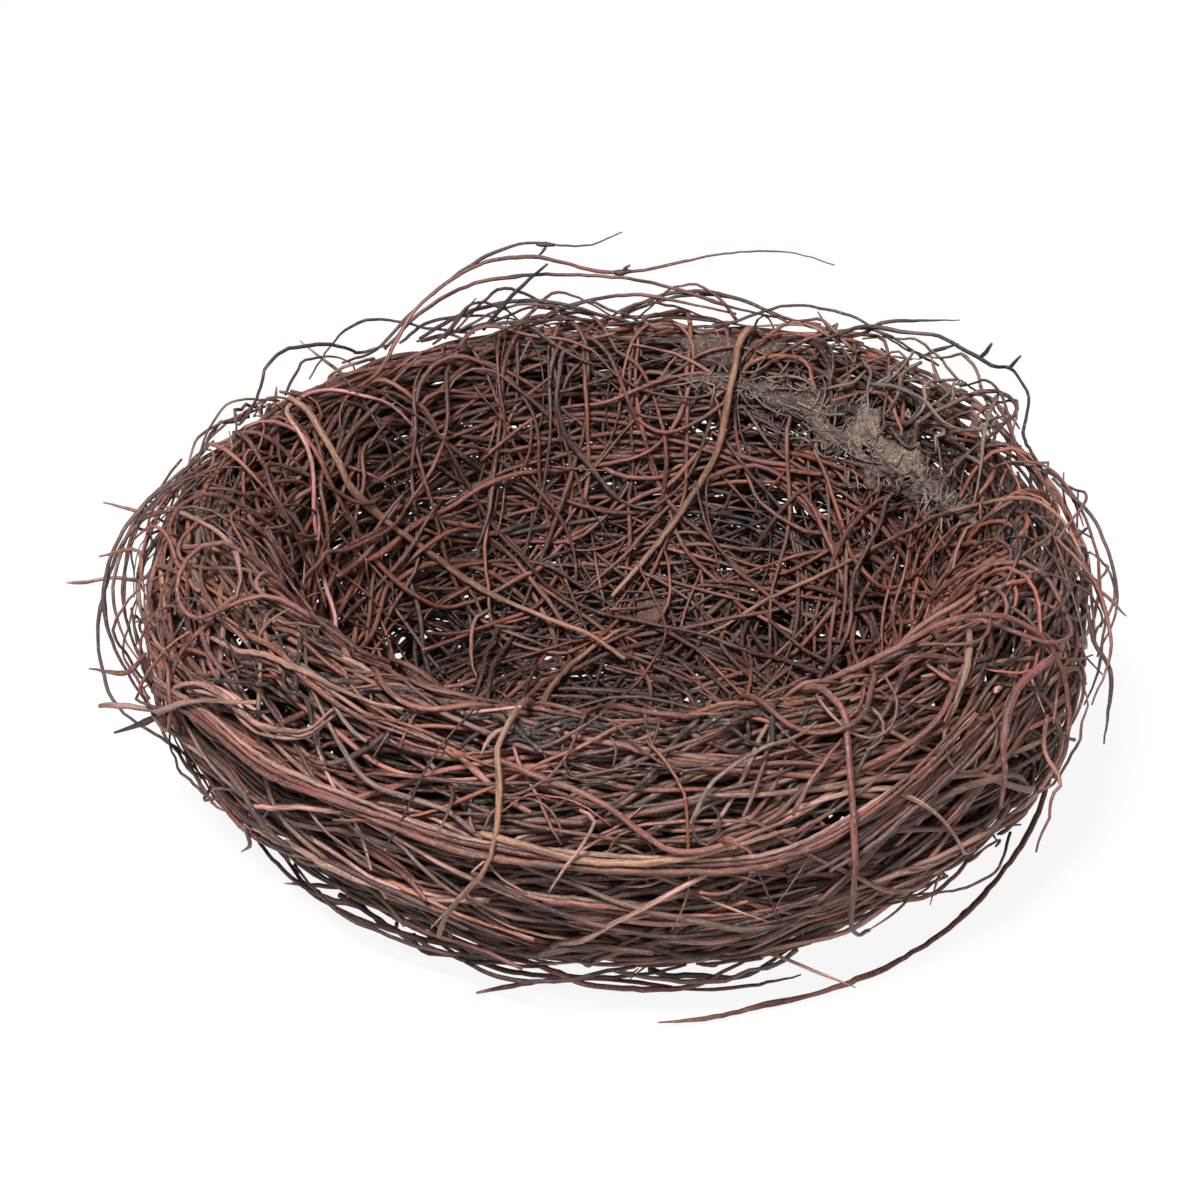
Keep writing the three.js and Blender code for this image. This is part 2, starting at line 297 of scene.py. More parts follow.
def wall_bundles(stems):
    """The bundles round the wall, from the foot over the crest into the cup."""
    medium, slim, fine = stems.medium / MM, stems.slim / MM, stems.fine / MM
    coils = stems.coil_count // 2
    return (
        Bundle("low_coils", coils, (110, 360), (0.9 * fine, 1.12 * medium), (0.02, 0.6),
               (-6.3, -3.4, 0.0), 0.16, 0.024, 0.018, WEATHERED, 0.2),
        Bundle("high_coils", coils, (100, 340), (0.9 * fine, 1.12 * medium), (0.5, 1.05),
               (-5.8, -3.0, 0.0), 0.18, 0.026, 0.018, WEATHERED, 0.3),
        Bundle("crossing_stems", 110, (30, 150), (fine, medium), (0.05, 1.1),
               (-4.2, -2.0, 0.3), 0.42, 0.035, 0.03, WEATHERED, 0.3),
        # The packing stems' dark bark is partly their own tone and partly painted shade deep in the weave.
        Bundle("packing_stems", stems.packing_count, (90, 330), (slim, 1.2 * medium), (-0.25, 1.1),
               (-9.0, -6.2, -3.6), 0.2, 0.02, 0.008, DARK, 0.0),
        Bundle("rim_stems", stems.rim_count, (90, 260), (fine, medium), (0.9, 1.25),
               (-4.5, -2.4, -0.2), 0.12, 0.022, 0.012, WEATHERED, 0.3),
        Bundle("lining_stems", stems.lining_count, (80, 240), (1.05 * fine, 0.95 * medium), (1.08, 1.85),
               (-3.2, -1.2, 0.6), 0.17, 0.024, 0.014, WARM, 0.15),
        Bundle("under_stems", 72, (70, 240), (slim, medium), (-0.95, 0.0),
               (-5.0, -2.0, -0.7), 0.6, 0.03, 0.01, DARK, 0.0),
    )


def cup_bundles(stems):
    """The bundles that line and close the cup."""
    medium, slim = stems.medium / MM, stems.slim / MM
    fine, hair = stems.fine / MM, stems.hair / MM
    return (
        Bundle("cup_twigs", stems.twig_count, (50, 160), (fine, 1.15 * slim), (4, 66),
               (-3.2, -1.0, 1.4), 0.8, 0.035, 0.02, WARM, 0.2),
        Bundle("cup_twigs", 135, (90, 260), (slim, medium), (10, 74),
               (-1.5, 0.4, 2.4), 0.5, 0.034, 0.01, WARM, 0.15),
        Bundle("floor_twigs", 290, (28, 72), (fine, 1.1 * slim), (0, 38),
               (-5.4, -2.5, 0.3), 2.6, 0.03, 0.02, EARTHY, 0.0),
        Bundle("root_hairs", stems.hair_count, (20, 90), (0.8 * hair, 1.5 * hair), (0, 110),
               (-1.5, 0.0, 1.2), 1.2, 0.06, 0.03, DARK, 0.3),
    )


# How stems wander from ring to ring.
WALL_INERTIA, CUP_INERTIA = 0.86, 0.88  # share of a turn that carries on
HOMING = 0.02  # how strongly a stem heads back to its own tilt
TURN_BACK = 0.12  # least tilt of a stem that comes back from beyond its bundle's stations
STEERING = 0.2  # and how sharply a twig in the cup does
WALL_KINK, CUP_KINK = 0.4, 0.5  # spread of a kink, in radians
LEAST_RADIUS = 12  # stems turn round the axis no tighter than this
UNEVENNESS = 0.52  # how far rings stray from a smooth line
FREE_RINGS = (4, 9)  # rings of an end that springs free
FREE_RISE = (0.5, 3.2)  # and how far its tip rises


def wall_routes(rng, bundle):
    """Stems wandering round the wall, most of them along it: azimuth, station and lift by rings."""
    count = bundle.count
    steps = int(bundle.length[1] / WALL_RINGS)
    low, high = bundle.stations
    azimuth = rng.uniform(0, 360, count)
    station = rng.uniform(low, high, count)
    way = rng.choice([-1, 1], count)
    tilt = rng.normal(0, bundle.tilt, count)
    heading = tilt + rng.normal(0, 0.1, count)
    turn = rng.normal(0, 2 * bundle.waviness, count)
    waves = rng.uniform(25, 70, count) / WALL_RINGS
    phase = rng.uniform(0, FULL_TURN, count)
    middle = rng.triangular(*bundle.lift, count)
    swing = 0.15 * (bundle.lift[2] - bundle.lift[0])
    rows = []
    for step in range(steps):
        lift = middle + swing * np.sin(phase + step * FULL_TURN / waves)
        rows.append(np.stack([azimuth, station, lift], 1))
        radius = FORM.skin(station, 0)[0] * FORM.plan(azimuth)
        azimuth = azimuth + way * np.degrees(WALL_RINGS * np.cos(heading) / np.maximum(radius, LEAST_RADIUS))
        station = station + WALL_RINGS * np.sin(heading) / FORM.part_length(station)
        kinked = rng.random(count) < bundle.kink
        turn = WALL_INERTIA * turn + rng.normal(0, bundle.waviness, count) - HOMING * (heading - tilt)
        heading = heading + turn + np.where(kinked, rng.normal(0, WALL_KINK, count), 0)
        tilt = np.where(station > high, -np.maximum(np.abs(tilt), TURN_BACK), tilt)
        tilt = np.where(station < low, np.maximum(np.abs(tilt), TURN_BACK), tilt)
    return np.stack(rows, 1)


def cup_routes(rng, bundle):
    """Twigs wandering in the cup, which is unrolled flat about the middle of its floor."""
    count = bundle.count
    steps = int(bundle.length[1] / WALL_RINGS)
    low, high = bundle.stations  # as distances from the middle of the floor
    reach = np.sqrt(rng.uniform(low**2, high**2, count))
    bearing = rng.uniform(0, FULL_TURN, count)
    spot = np.stack([reach * np.cos(bearing), reach * np.sin(bearing)], 1)
    along = bearing + rng.choice([-0.5, 0.5], count) * math.pi
    heading = along + rng.normal(0, bundle.tilt, count)
    turn = rng.normal(0, 2 * bundle.waviness, count)
    waves = rng.uniform(18, 45, count) / WALL_RINGS
    phase = rng.uniform(0, FULL_TURN, count)
    middle = rng.triangular(*bundle.lift, count)
    swing = 0.2 * (bundle.lift[2] - bundle.lift[0])
    rows = []
    for step in range(steps):
        reach = np.hypot(*spot.T)
        lift = middle + swing * np.sin(phase + step * FULL_TURN / waves)
        azimuth = np.degrees(np.arctan2(spot[:, 1], spot[:, 0]))
        rows.append(np.stack([azimuth, FORM.cup_station(reach), lift], 1))
        spot = spot + WALL_RINGS * np.stack([np.cos(heading), np.sin(heading)], 1)
        inward = np.arctan2(-spot[:, 1], -spot[:, 0])
        off = np.angle(np.exp(1j * (inward - heading)))
        steer = np.where(reach > high, STEERING, 0) * np.sign(off)
        kinked = rng.random(count) < bundle.kink
        turn = CUP_INERTIA * turn + rng.normal(0, bundle.waviness, count)
        heading = heading + turn + steer + np.where(kinked, rng.normal(0, CUP_KINK, count), 0)
    return np.stack(rows, 1)


def opened(rng, route):
    """The part of a route in front of the first hollow that it would close."""
    for azimuth, station, wide, tall, share in HOLLOWS:
        aside = np.mod(route[:, 0] - azimuth + 180, 360) - 180
        inside = (aside / wide) ** 2 + ((route[:, 1] - station) / tall) ** 2 < 1
        if inside.any() and rng.random() < share:
            route = route[: max(np.argmax(inside), 1)]
    return route


def tucked(route):
    """A route's lifts, kept low where the bark strip lies over it."""
    spine = np.array(STRIP_SPINE)[::-1]
    azimuth = np.mod(route[:, 0], 360)
    middle, half = (np.interp(azimuth, spine[:, 0], spine[:, k]) for k in (1, 2))
    beneath = (azimuth < spine[-1, 0]) & (np.abs(route[:, 1] - middle) < STRIP_MARGIN * half)
    return np.where(beneath, np.minimum(route[:, 2], UNDER_STRIP), route[:, 2])


def bundle_stems(rng, bundle, colours, routes):
    """Cuts a bundle's routes to length and gives each stem its thickness and colour."""
    stems = []
    for route in routes:
        rings = int(rng.triangular(bundle.length[0], bundle.length[0], bundle.length[1]) / WALL_RINGS)
        route = opened(rng, route[: max(rings, LEAST_RINGS)]).copy()
        if len(route) < LEAST_RINGS:
            continue
        springing = rng.random(2) < bundle.free_end
        for at_end, springs in enumerate(springing):
            if springs:
                reach = min(len(route) // 2, rng.integers(*FREE_RINGS))
                rise = rng.uniform(*FREE_RISE) * np.linspace(1, 0, reach) ** 2
                rows = slice(0, reach) if at_end == 0 else slice(len(route) - reach, None)
                route[rows, 2] += rise if at_end == 0 else rise[::-1]
        route[:, 2] = tucked(route)
        radius = rng.uniform(*bundle.radius)
        points = FORM.over(*route.T) + wiggle(rng, len(route), UNEVENNESS)
        stems.append(Stem(bundle.group, points, thickness(rng, radius, len(points)),
                          bark_colour(rng, colours, bundle.shares), False))
    return stems


def laid_stem(rng, group, radius, colour, route, start_taper=0.8, end_taper=0.5):
    """A stem laid along a given route, which the weave gives way to."""
    points = evenly(smooth_line(route, LAID_SAMPLES), FINE_RINGS)
    points[1:-1] += rng.normal(0, 0.05, (len(points) - 2, 3))
    return Stem(group, points, thickness(rng, radius, len(points), start_taper, end_taper),
                np.array(colour), True)


# ---- settling: stems that run into each other are eased apart ---------------------------------------
ROUNDS, QUICK_ROUNDS = 14, 3
YIELD = 0.5  # share of an overlap that a round undoes
LONGEST_STEP = 0.45  # and the most that it moves a point, in millimetres
SPRING = 0.97  # share of its way that a moved point keeps, so that stems spring back a little
CLEARANCE = 0.05  # between the lowest stems and what the nest stands on


def close_pairs(balls, cell):
    """Indices of the pairs of balls in the same or in neighbouring cells."""
    corner = np.floor((balls - balls.min(0)) / cell).astype(np.int64) + 1
    span = corner.max(0) + 2
    key = (corner[:, 0] * span[1] + corner[:, 1]) * span[2] + corner[:, 2]
    order = np.argsort(key, kind="stable")
    key = key[order]
    here = np.arange(len(key))
    pairs = []
    for dx in (0, 1):
        for dy in (-1, 0, 1):
            for dz in (-1, 0, 1):
                shift = (dx * span[1] + dy) * span[2] + dz
                if shift < 0:
                    continue
                start = here + 1 if shift == 0 else np.searchsorted(key, key + shift, "left")
                stop = np.searchsorted(key, key + shift, "right")
                found = np.maximum(stop - start, 0)
                first = np.repeat(here, found)
                inner = np.arange(found.sum()) - np.repeat(np.cumsum(found) - found, found)
                pairs.append(np.stack([order[first], order[np.repeat(start, found) + inner]]))
    return np.concatenate(pairs, 1)


def settle(stems, rounds, cell=2.0):
    """Moves the loose stems out of each other and keeps them on or above the floor."""
    sizes = [len(stem.points) for stem in stems]
    points = np.concatenate([stem.points for stem in stems])
    radius = np.concatenate([stem.radius for stem in stems])
    owner = np.repeat(np.arange(len(stems)), sizes)
    loose = np.repeat([0.0 if stem.held else 1.0 for stem in stems], sizes)
    linked = np.flatnonzero(owner[1:] == owner[:-1])
    home = points.copy()
    for _ in range(rounds):
        balls = np.vstack([points, (points[linked] + points[linked + 1]) / 2])
        size = np.concatenate([radius, (radius[linked] + radius[linked + 1]) / 2])
        whose = np.concatenate([owner, owner[linked]])
        free = np.concatenate([loose, loose[linked]])
        first, second = close_pairs(balls, cell)
        apart = (whose[first] != whose[second]) & (free[first] + free[second] > 0)
        first, second = first[apart], second[apart]
        between = balls[first] - balls[second]
        distance = np.linalg.norm(between, axis=1) + 1e-6
        overlap = size[first] + size[second] - distance
        hit = overlap > 0
        first, second = first[hit], second[hit]
        share = free[first] / (free[first] + free[second])
        push = between[hit] / distance[hit, None] * overlap[hit, None]
        move = np.zeros_like(balls)
        for axis in range(3):
            move[:, axis] += np.bincount(first, push[:, axis] * share, len(balls))
            move[:, axis] -= np.bincount(second, push[:, axis] * (1 - share), len(balls))
        step = move[: len(points)]
        middle = move[len(points) :]
        for axis in range(3):
            step[:, axis] += np.bincount(linked, middle[:, axis], len(points))
            step[:, axis] += np.bincount(linked + 1, middle[:, axis], len(points))
        step = np.clip(YIELD * step, -LONGEST_STEP, LONGEST_STEP)
        drift = points + step - home
        eased = drift.copy()
        eased[linked] += 0.5 * drift[linked + 1]
        eased[linked + 1] += 0.5 * drift[linked]
        weight = np.ones(len(points))
        weight[linked] += 0.5
        weight[linked + 1] += 0.5
        drift = SPRING * (0.5 * drift + 0.5 * eased / weight[:, None])
        points = home + drift * loose[:, None]
        points[:, 2] = np.maximum(points[:, 2], radius + CLEARANCE)
    starts = np.cumsum([0] + sizes)
    return [stem._replace(points=points[a:b]) for stem, a, b in zip(stems, starts, starts[1:])]


# ---- meshes ------------------------------------------------------------------------------------------
def sweep(name, stems, sides, rng):
    """One mesh of round stems with closed tips. Each carries its colour, a pattern space that runs
    along it, and a strip of its own in the bake's map."""
    count = len(stems)
    rings = np.array([len(stem.points) for stem in stems])
    longest = rings.max()
    line = np.zeros((count, longest, 3))
    radius = np.zeros((count, longest))
    for row, stem in enumerate(stems):
        line[row, : rings[row]] = stem.points
        line[row, rings[row] :] = stem.points[-1]
        radius[row, : rings[row]] = stem.radius
    live = np.arange(longest)[None] < rings[:, None]
    last = rings - 1
    ahead = np.concatenate([line[:, 1:], line[:, -1:]], 1)
    behind = np.concatenate([line[:, :1], line[:, :-1]], 1)
    tangent = ahead - behind
    tangent /= np.linalg.norm(tangent, axis=2)[..., None] + 1e-9
    normal = np.zeros_like(line)
    start = np.cross(tangent[:, 0], [0.31, 0.17, 0.93])
    normal[:, 0] = start / np.linalg.norm(start, axis=1)[:, None]
    for ring in range(1, longest):
        across = normal[:, ring - 1]
        across = across - tangent[:, ring] * np.sum(across * tangent[:, ring], 1)[:, None]
        normal[:, ring] = across / (np.linalg.norm(across, axis=1)[:, None] + 1e-9)
    binormal = np.cross(tangent, normal)
    turn = np.arange(sides) * FULL_TURN / sides
    circle = np.stack([np.cos(turn), np.sin(turn)], 1)
    spokes = circle[:, 0, None] * normal[:, :, None] + circle[:, 1, None] * binormal[:, :, None]
    skin = line[:, :, None] + radius[:, :, None, None] * spokes
    rows = np.arange(count)
    tips = np.stack([line[:, 0] - 0.5 * tangent[:, 0] * radius[:, :1],
                     line[rows, last] + 0.5 * tangent[rows, last] * radius[rows, last][:, None]], 1)

    # Vertices: rings of live points, then two tips to a stem.
    number = np.cumsum(live.ravel()).reshape(live.shape) - 1
    ring_total = int(live.sum())
    vertices = np.concatenate([skin[live].reshape(-1, 3), tips.reshape(-1, 3)])
    gaps = np.linalg.norm(np.diff(line, axis=1), axis=2)
    along = np.concatenate([np.zeros((count, 1)), np.cumsum(gaps, 1)], 1)
    offset = rng.uniform(0, 900, count)
    space = np.empty((count, longest, sides, 3))
    space[..., 0] = (along + offset[:, None])[:, :, None]
    space[..., 1] = radius[:, :, None] * circle[:, 0]
    space[..., 2] = radius[:, :, None] * circle[:, 1]
    tip_space = np.zeros((count, 2, 3))
    tip_space[:, 0, 0] = offset
    tip_space[:, 1, 0] = offset + along[rows, last]
    pattern = np.concatenate([space[live].reshape(-1, 3), tip_space.reshape(-1, 3)])
    # The ring colours carry the painted shade laid into the stems' colours.
    ring_colour = np.repeat(np.concatenate([stem.colour for stem in stems]), sides, 0)
    tip_colour = np.concatenate([stem.colour[[0, -1]] for stem in stems])
    paint = np.concatenate([ring_colour, tip_colour])

    # Faces: quads between live rings, triangles to the tips.
    stem_of, ring_of = np.nonzero(live[:, 1:])
    here = number[stem_of, ring_of][:, None] * sides
    there = here + sides
    side = np.arange(sides)
    after = (side + 1) % sides
    quads = np.stack([here + side, here + after, there + after, there + side], 2).reshape(-1, 4)
    first_ring = number[rows, 0][:, None] * sides
    last_ring = number[rows, last][:, None] * sides
    tip = ring_total * sides + 2 * rows[:, None]
    near = np.stack([np.broadcast_to(tip, (count, sides)), first_ring + after, first_ring + side], 2)
    far = np.stack([np.broadcast_to(tip + 1, (count, sides)), last_ring + side, last_ring + after], 2)
    triangles = np.concatenate([near.reshape(-1, 3), far.reshape(-1, 3)])

    # Bake map: the stems end to end in rows of even length.
    total = along[rows, last] + 4 * radius.max()
    begin = np.cumsum(total) - total
    width = math.sqrt(total.sum() * FULL_TURN * radius[live].mean())
    row_count = int(total.sum() / width) + 2
    room = width + 2 * WALL_RINGS + 4 * radius.max()

    def strip(place, length, low, high, corners):
        """Map corners of a face whose left edge is at a place along the strips."""
        row = np.floor(place / width)
        left = (place - row * width) / room
        right = left + length / room
        bottom, top = ((row + 0.1 + 0.8 * share) / row_count for share in (low, high))
        spots = {"left": left, "right": right, "bottom": bottom, "top": top,
                 "middle": (bottom + top) / 2}
        pairs = np.broadcast_arrays(*(spots[corner] for corner in corners.split()))
        return np.stack(pairs, -1).reshape(-1, 2)

    low, high = side / sides, (side + 1) / sides
    cap = 0.9 * radius.max()
    begun = begin[stem_of] + radius.max() + along[stem_of, ring_of]
    ended = begin + radius.max() + along[rows, last]
    bake_map = np.concatenate([
        strip(begun[:, None], gaps[stem_of, ring_of][:, None], low, high,
              "left bottom left top right top right bottom"),
        strip(begin[:, None], cap, low, high, "left middle right top right bottom"),
        strip(ended[:, None], cap, low, high, "right middle left bottom left top")])

    mesh = bpy.data.meshes.new(name)
    mesh.vertices.add(len(vertices))
    mesh.vertices.foreach_set("co", (vertices * MM).astype(np.float32).ravel())
    corners = np.concatenate([quads.ravel(), triangles.ravel()])
    mesh.loops.add(len(corners))
    mesh.loops.foreach_set("vertex_index", corners.astype(np.int32))
    starts = np.concatenate([np.arange(len(quads)) * 4,
                             len(quads) * 4 + np.arange(len(triangles)) * 3])
    mesh.polygons.add(len(starts))
    mesh.polygons.foreach_set("loop_start", starts.astype(np.int32))
    mesh.update(calc_edges=True)
    mesh.shade_smooth()
    bake = mesh.uv_layers.new(name="OFBake")
    bake.data.foreach_set("uv", bake_map.astype(np.float32).ravel())
    attribute = mesh.attributes.new("stem_space", "FLOAT_VECTOR", "POINT")
    attribute.data.foreach_set("vector", pattern.astype(np.float32).ravel())
    attribute = mesh.attributes.new("stem_colour", "FLOAT_COLOR", "POINT")
    rgba = np.concatenate([paint, np.ones((len(paint), 1))], 1)
    attribute.data.foreach_set("color", rgba.astype(np.float32).ravel())
    if mesh.validate():
        raise RuntimeError(f"{name} had faces that aren't valid")
    return mesh


def place(name, mesh, material, slot, *nodes):
    """Puts a finished mesh in the scene as a piece that rides on the nest."""
    piece = bpy.data.objects.new(name, mesh)
    bpy.context.scene.collection.objects.link(piece)
    mesh.materials.append(material)
    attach(piece, BODY)
    if nodes:
        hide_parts(*nodes)
    return piece


# ---- materials -----------------------------------------------------------------------------------------
class Wire:
    """A socket with arithmetic: an expression on wires adds the Math nodes it needs."""

    def __init__(self, recipe, socket):
        self.recipe, self.socket = recipe, socket

    def _math(self, operation, *values):
        return self.recipe.node("ShaderNodeMath", {"operation": operation}, dict(enumerate(values)))

    def __add__(self, other):
        return self._math("ADD", self, other)

    def __mul__(self, other):
        return self._math("MULTIPLY", self, other)

    def clear(self, low, high):
        """0 below low, 1 above high and smooth between."""
        inputs = {"Value": self, "From Min": low, "From Max": high}
        return self.recipe.node("ShaderNodeMapRange", {"interpolation_type": "SMOOTHSTEP"}, inputs)

    __radd__ = __add__
    __rmul__ = __mul__


class Recipe:
    """A material written as nodes."""

    def __init__(self, name):
        self.material = bpy.data.materials.new(name)
        self.material.use_nodes = True
        self.tree = self.material.node_tree
        self.tree.nodes.clear()

    def node(self, kind, settings, inputs, output=0):
        """Adds a node: its settings first, then its sockets' values or links."""
        made = self.tree.nodes.new(kind)
        for key, value in settings.items():
            setattr(made, key, value)
        for key, value in inputs.items():
            if isinstance(value, Wire):
                self.tree.links.new(value.socket, made.inputs[key])
            elif made.inputs[key].type == "RGBA":
                made.inputs[key].default_value = (*value[:3], 1)
            else:
                made.inputs[key].default_value = value
        return Wire(self, made.outputs[output]) if made.outputs else None

    def attribute(self, name, output="Vector"):
        return self.node("ShaderNodeAttribute", {"attribute_name": name}, {}, output)

    def stretched(self, vector, scale, shift=(0, 0, 0)):
        scaled = self.node("ShaderNodeVectorMath", {"operation": "MULTIPLY"}, {0: vector, 1: scale})
        return self.node("ShaderNodeVectorMath", {"operation": "ADD"}, {0: scaled, 1: shift})

    def noise(self, vector, scale, detail=3, roughness=0.55, distortion=0.0):
        inputs = {"Vector": vector, "Scale": scale, "Detail": detail, "Roughness": roughness,
                  "Distortion": distortion}
        return self.node("ShaderNodeTexNoise", {}, inputs, "Fac")

    def mix(self, factor, first, second):
        """Two colours mixed."""
        inputs = {0: factor, 6: first, 7: second}
        return self.node("ShaderNodeMix", {"data_type": "RGBA"}, inputs, 2)

    def finish(self, colour, roughness, height, bump_distance, specular=0.3):
        """Adds the bump and the surface shader, and returns the finished material."""
        bump = self.node("ShaderNodeBump", {}, {"Height": height, "Distance": bump_distance,
                                                "Strength": 0.8})
        surface = self.node("ShaderNodeBsdfPrincipled", {}, {
            "Base Color": colour, "Roughness": roughness, "Normal": bump,
            "Specular IOR Level": specular})
        self.node("ShaderNodeOutputMaterial", {}, {"Surface": surface})
        return self.material


def stem_bark(colours, name="stem_bark", crusted=False):
    """Bark with streaks along the stem, paler and darker stretches, and a fibrous relief."""
    recipe = Recipe(name)
    space = recipe.attribute("stem_space")
    base = recipe.attribute("stem_colour", "Color")
    streaks = recipe.noise(recipe.stretched(space, (0.16, 2.4, 2.4)), 1.0, 4, 0.6)
    fibres = recipe.noise(recipe.stretched(space, (0.5, 7.0, 7.0), (9, 4, 2)), 1.0, 3, 0.6)
    stretches = recipe.noise(recipe.stretched(space, (0.05, 0.25, 0.25), (40, 7, 3)), 1.0, 2)
    rings = recipe.noise(recipe.stretched(space, (0.9, 0.4, 0.4), (3, 11, 8)), 1.0, 2)
    flecks = recipe.noise(recipe.stretched(space, (1.5, 3.6, 3.6), (6, 2, 12)), 1.0, 4, 0.7)
    dark = recipe.mix(0.66, base, colours.soot)
    pale = recipe.mix(0.46, base, colours.tan)
    worn = recipe.mix(0.4, base, colours.lichen)
    colour = recipe.mix(streaks.clear(0.4, 0.58), dark, base)
    colour = recipe.mix(flecks.clear(0.54, 0.66) * 0.8, colour, worn)
    colour = recipe.mix(flecks.clear(0.47, 0.36) * 0.85, colour, dark)
    colour = recipe.mix(stretches.clear(0.5, 0.72) * 0.85, colour, pale)
    colour = recipe.mix(stretches.clear(0.48, 0.3) * 0.55, colour, dark)
    colour = recipe.mix(rings.clear(0.62, 0.74) * 0.4, colour, colours.umber)
    roughness = 0.4 + 0.3 * streaks
    height = streaks * 0.5 + fibres * 0.35 + rings * 0.25 + flecks * 0.45
    if crusted:
        spots = recipe.noise(recipe.stretched(space, (1.1, 1.1, 1.1), (5, 5, 5)), 1.0, 5, 0.7)
        scabs = recipe.noise(recipe.stretched(space, (0.45, 0.7, 0.7), (2, 9, 1)), 1.0, 4, 0.65)
        colour = recipe.mix(scabs.clear(0.4, 0.52), colour, colours.soot)
        colour = recipe.mix(spots.clear(0.58, 0.7) * 0.8, colour, colours.lichen)
        roughness = roughness + 0.2 * spots
        height = height + spots * 1.6 + scabs * 1.2
    return recipe.finish(colour, roughness, height, 0.2 * MM)


def strip_bark(colours):
    """Felted bark: matted fibres, grey weathering, a tan worn half and painted shade in the low hollows of
    its relief.
    """
    recipe = Recipe("torn_bark")
    space = recipe.attribute("strip_space")
    fibres = recipe.noise(recipe.stretched(space, (0.7, 3.4, 0.6)), 1.0, 6, 0.7, 1.6)
    mat = recipe.noise(recipe.stretched(space, (2.2, 2.2, 1.6), (7, 3, 1)), 1.0, 5, 0.7, 1.0)
    stains = recipe.noise(recipe.stretched(space, (0.2, 0.3, 0.1), (1, 8, 4)), 1.0, 4, 0.6)
    place_x = recipe.node("ShaderNodeSeparateXYZ", {}, {0: space}, "X")
    height = recipe.node("ShaderNodeSeparateXYZ", {}, {0: space}, "Z")
    worn = tuple(min(1, 1.6 * value) for value in colours.bark)
    damp = recipe.mix(0.5, colours.bark, colours.umber)
    colour = recipe.mix(place_x.clear(20, 34) * 0.85, damp, worn)
    colour = recipe.mix(fibres.clear(0.56, 0.42) * 0.85, colour, colours.umber)
    colour = recipe.mix(stains.clear(0.52, 0.4) * 0.7, colour, colours.umber)
    colour = recipe.mix(mat.clear(0.53, 0.66) * 0.7, colour, colours.lichen)
    colour = recipe.mix(mat.clear(0.46, 0.34) * 0.8, colour, colours.soot)
    # Painted shade: the low hollows of the relief are darkened towards the soot colour.
    colour = recipe.mix(height.clear(-0.25, -0.8) * 0.85, colour, colours.soot)
    return recipe.finish(colour, 0.9, fibres * 0.8 + mat * 0.6, 0.35 * MM, 0.2)


def leaf_skin(colours):
    """Dry leaf with a grain along it."""
    recipe = Recipe("dry_leaf")
    space = recipe.attribute("strip_space")
    grain = recipe.noise(recipe.stretched(space, (2.6, 0.22, 0.3)), 1.0, 4, 0.6)
    blotch = recipe.noise(recipe.stretched(space, (0.5, 0.5, 0.5), (4, 4, 4)), 1.0, 3)
    colour = recipe.mix(grain.clear(0.36, 0.6), colours.umber, colours.leaf)
    colour = recipe.mix(blotch.clear(0.5, 0.66) * 0.5, colour, colours.umber)
    return recipe.finish(colour, 0.7, grain, 0.2 * MM, 0.25)


# ---- routes of the stems that can be followed by eye -----------------------------------------------------
Laid = namedtuple("Laid", "name radius colour slot taper route")

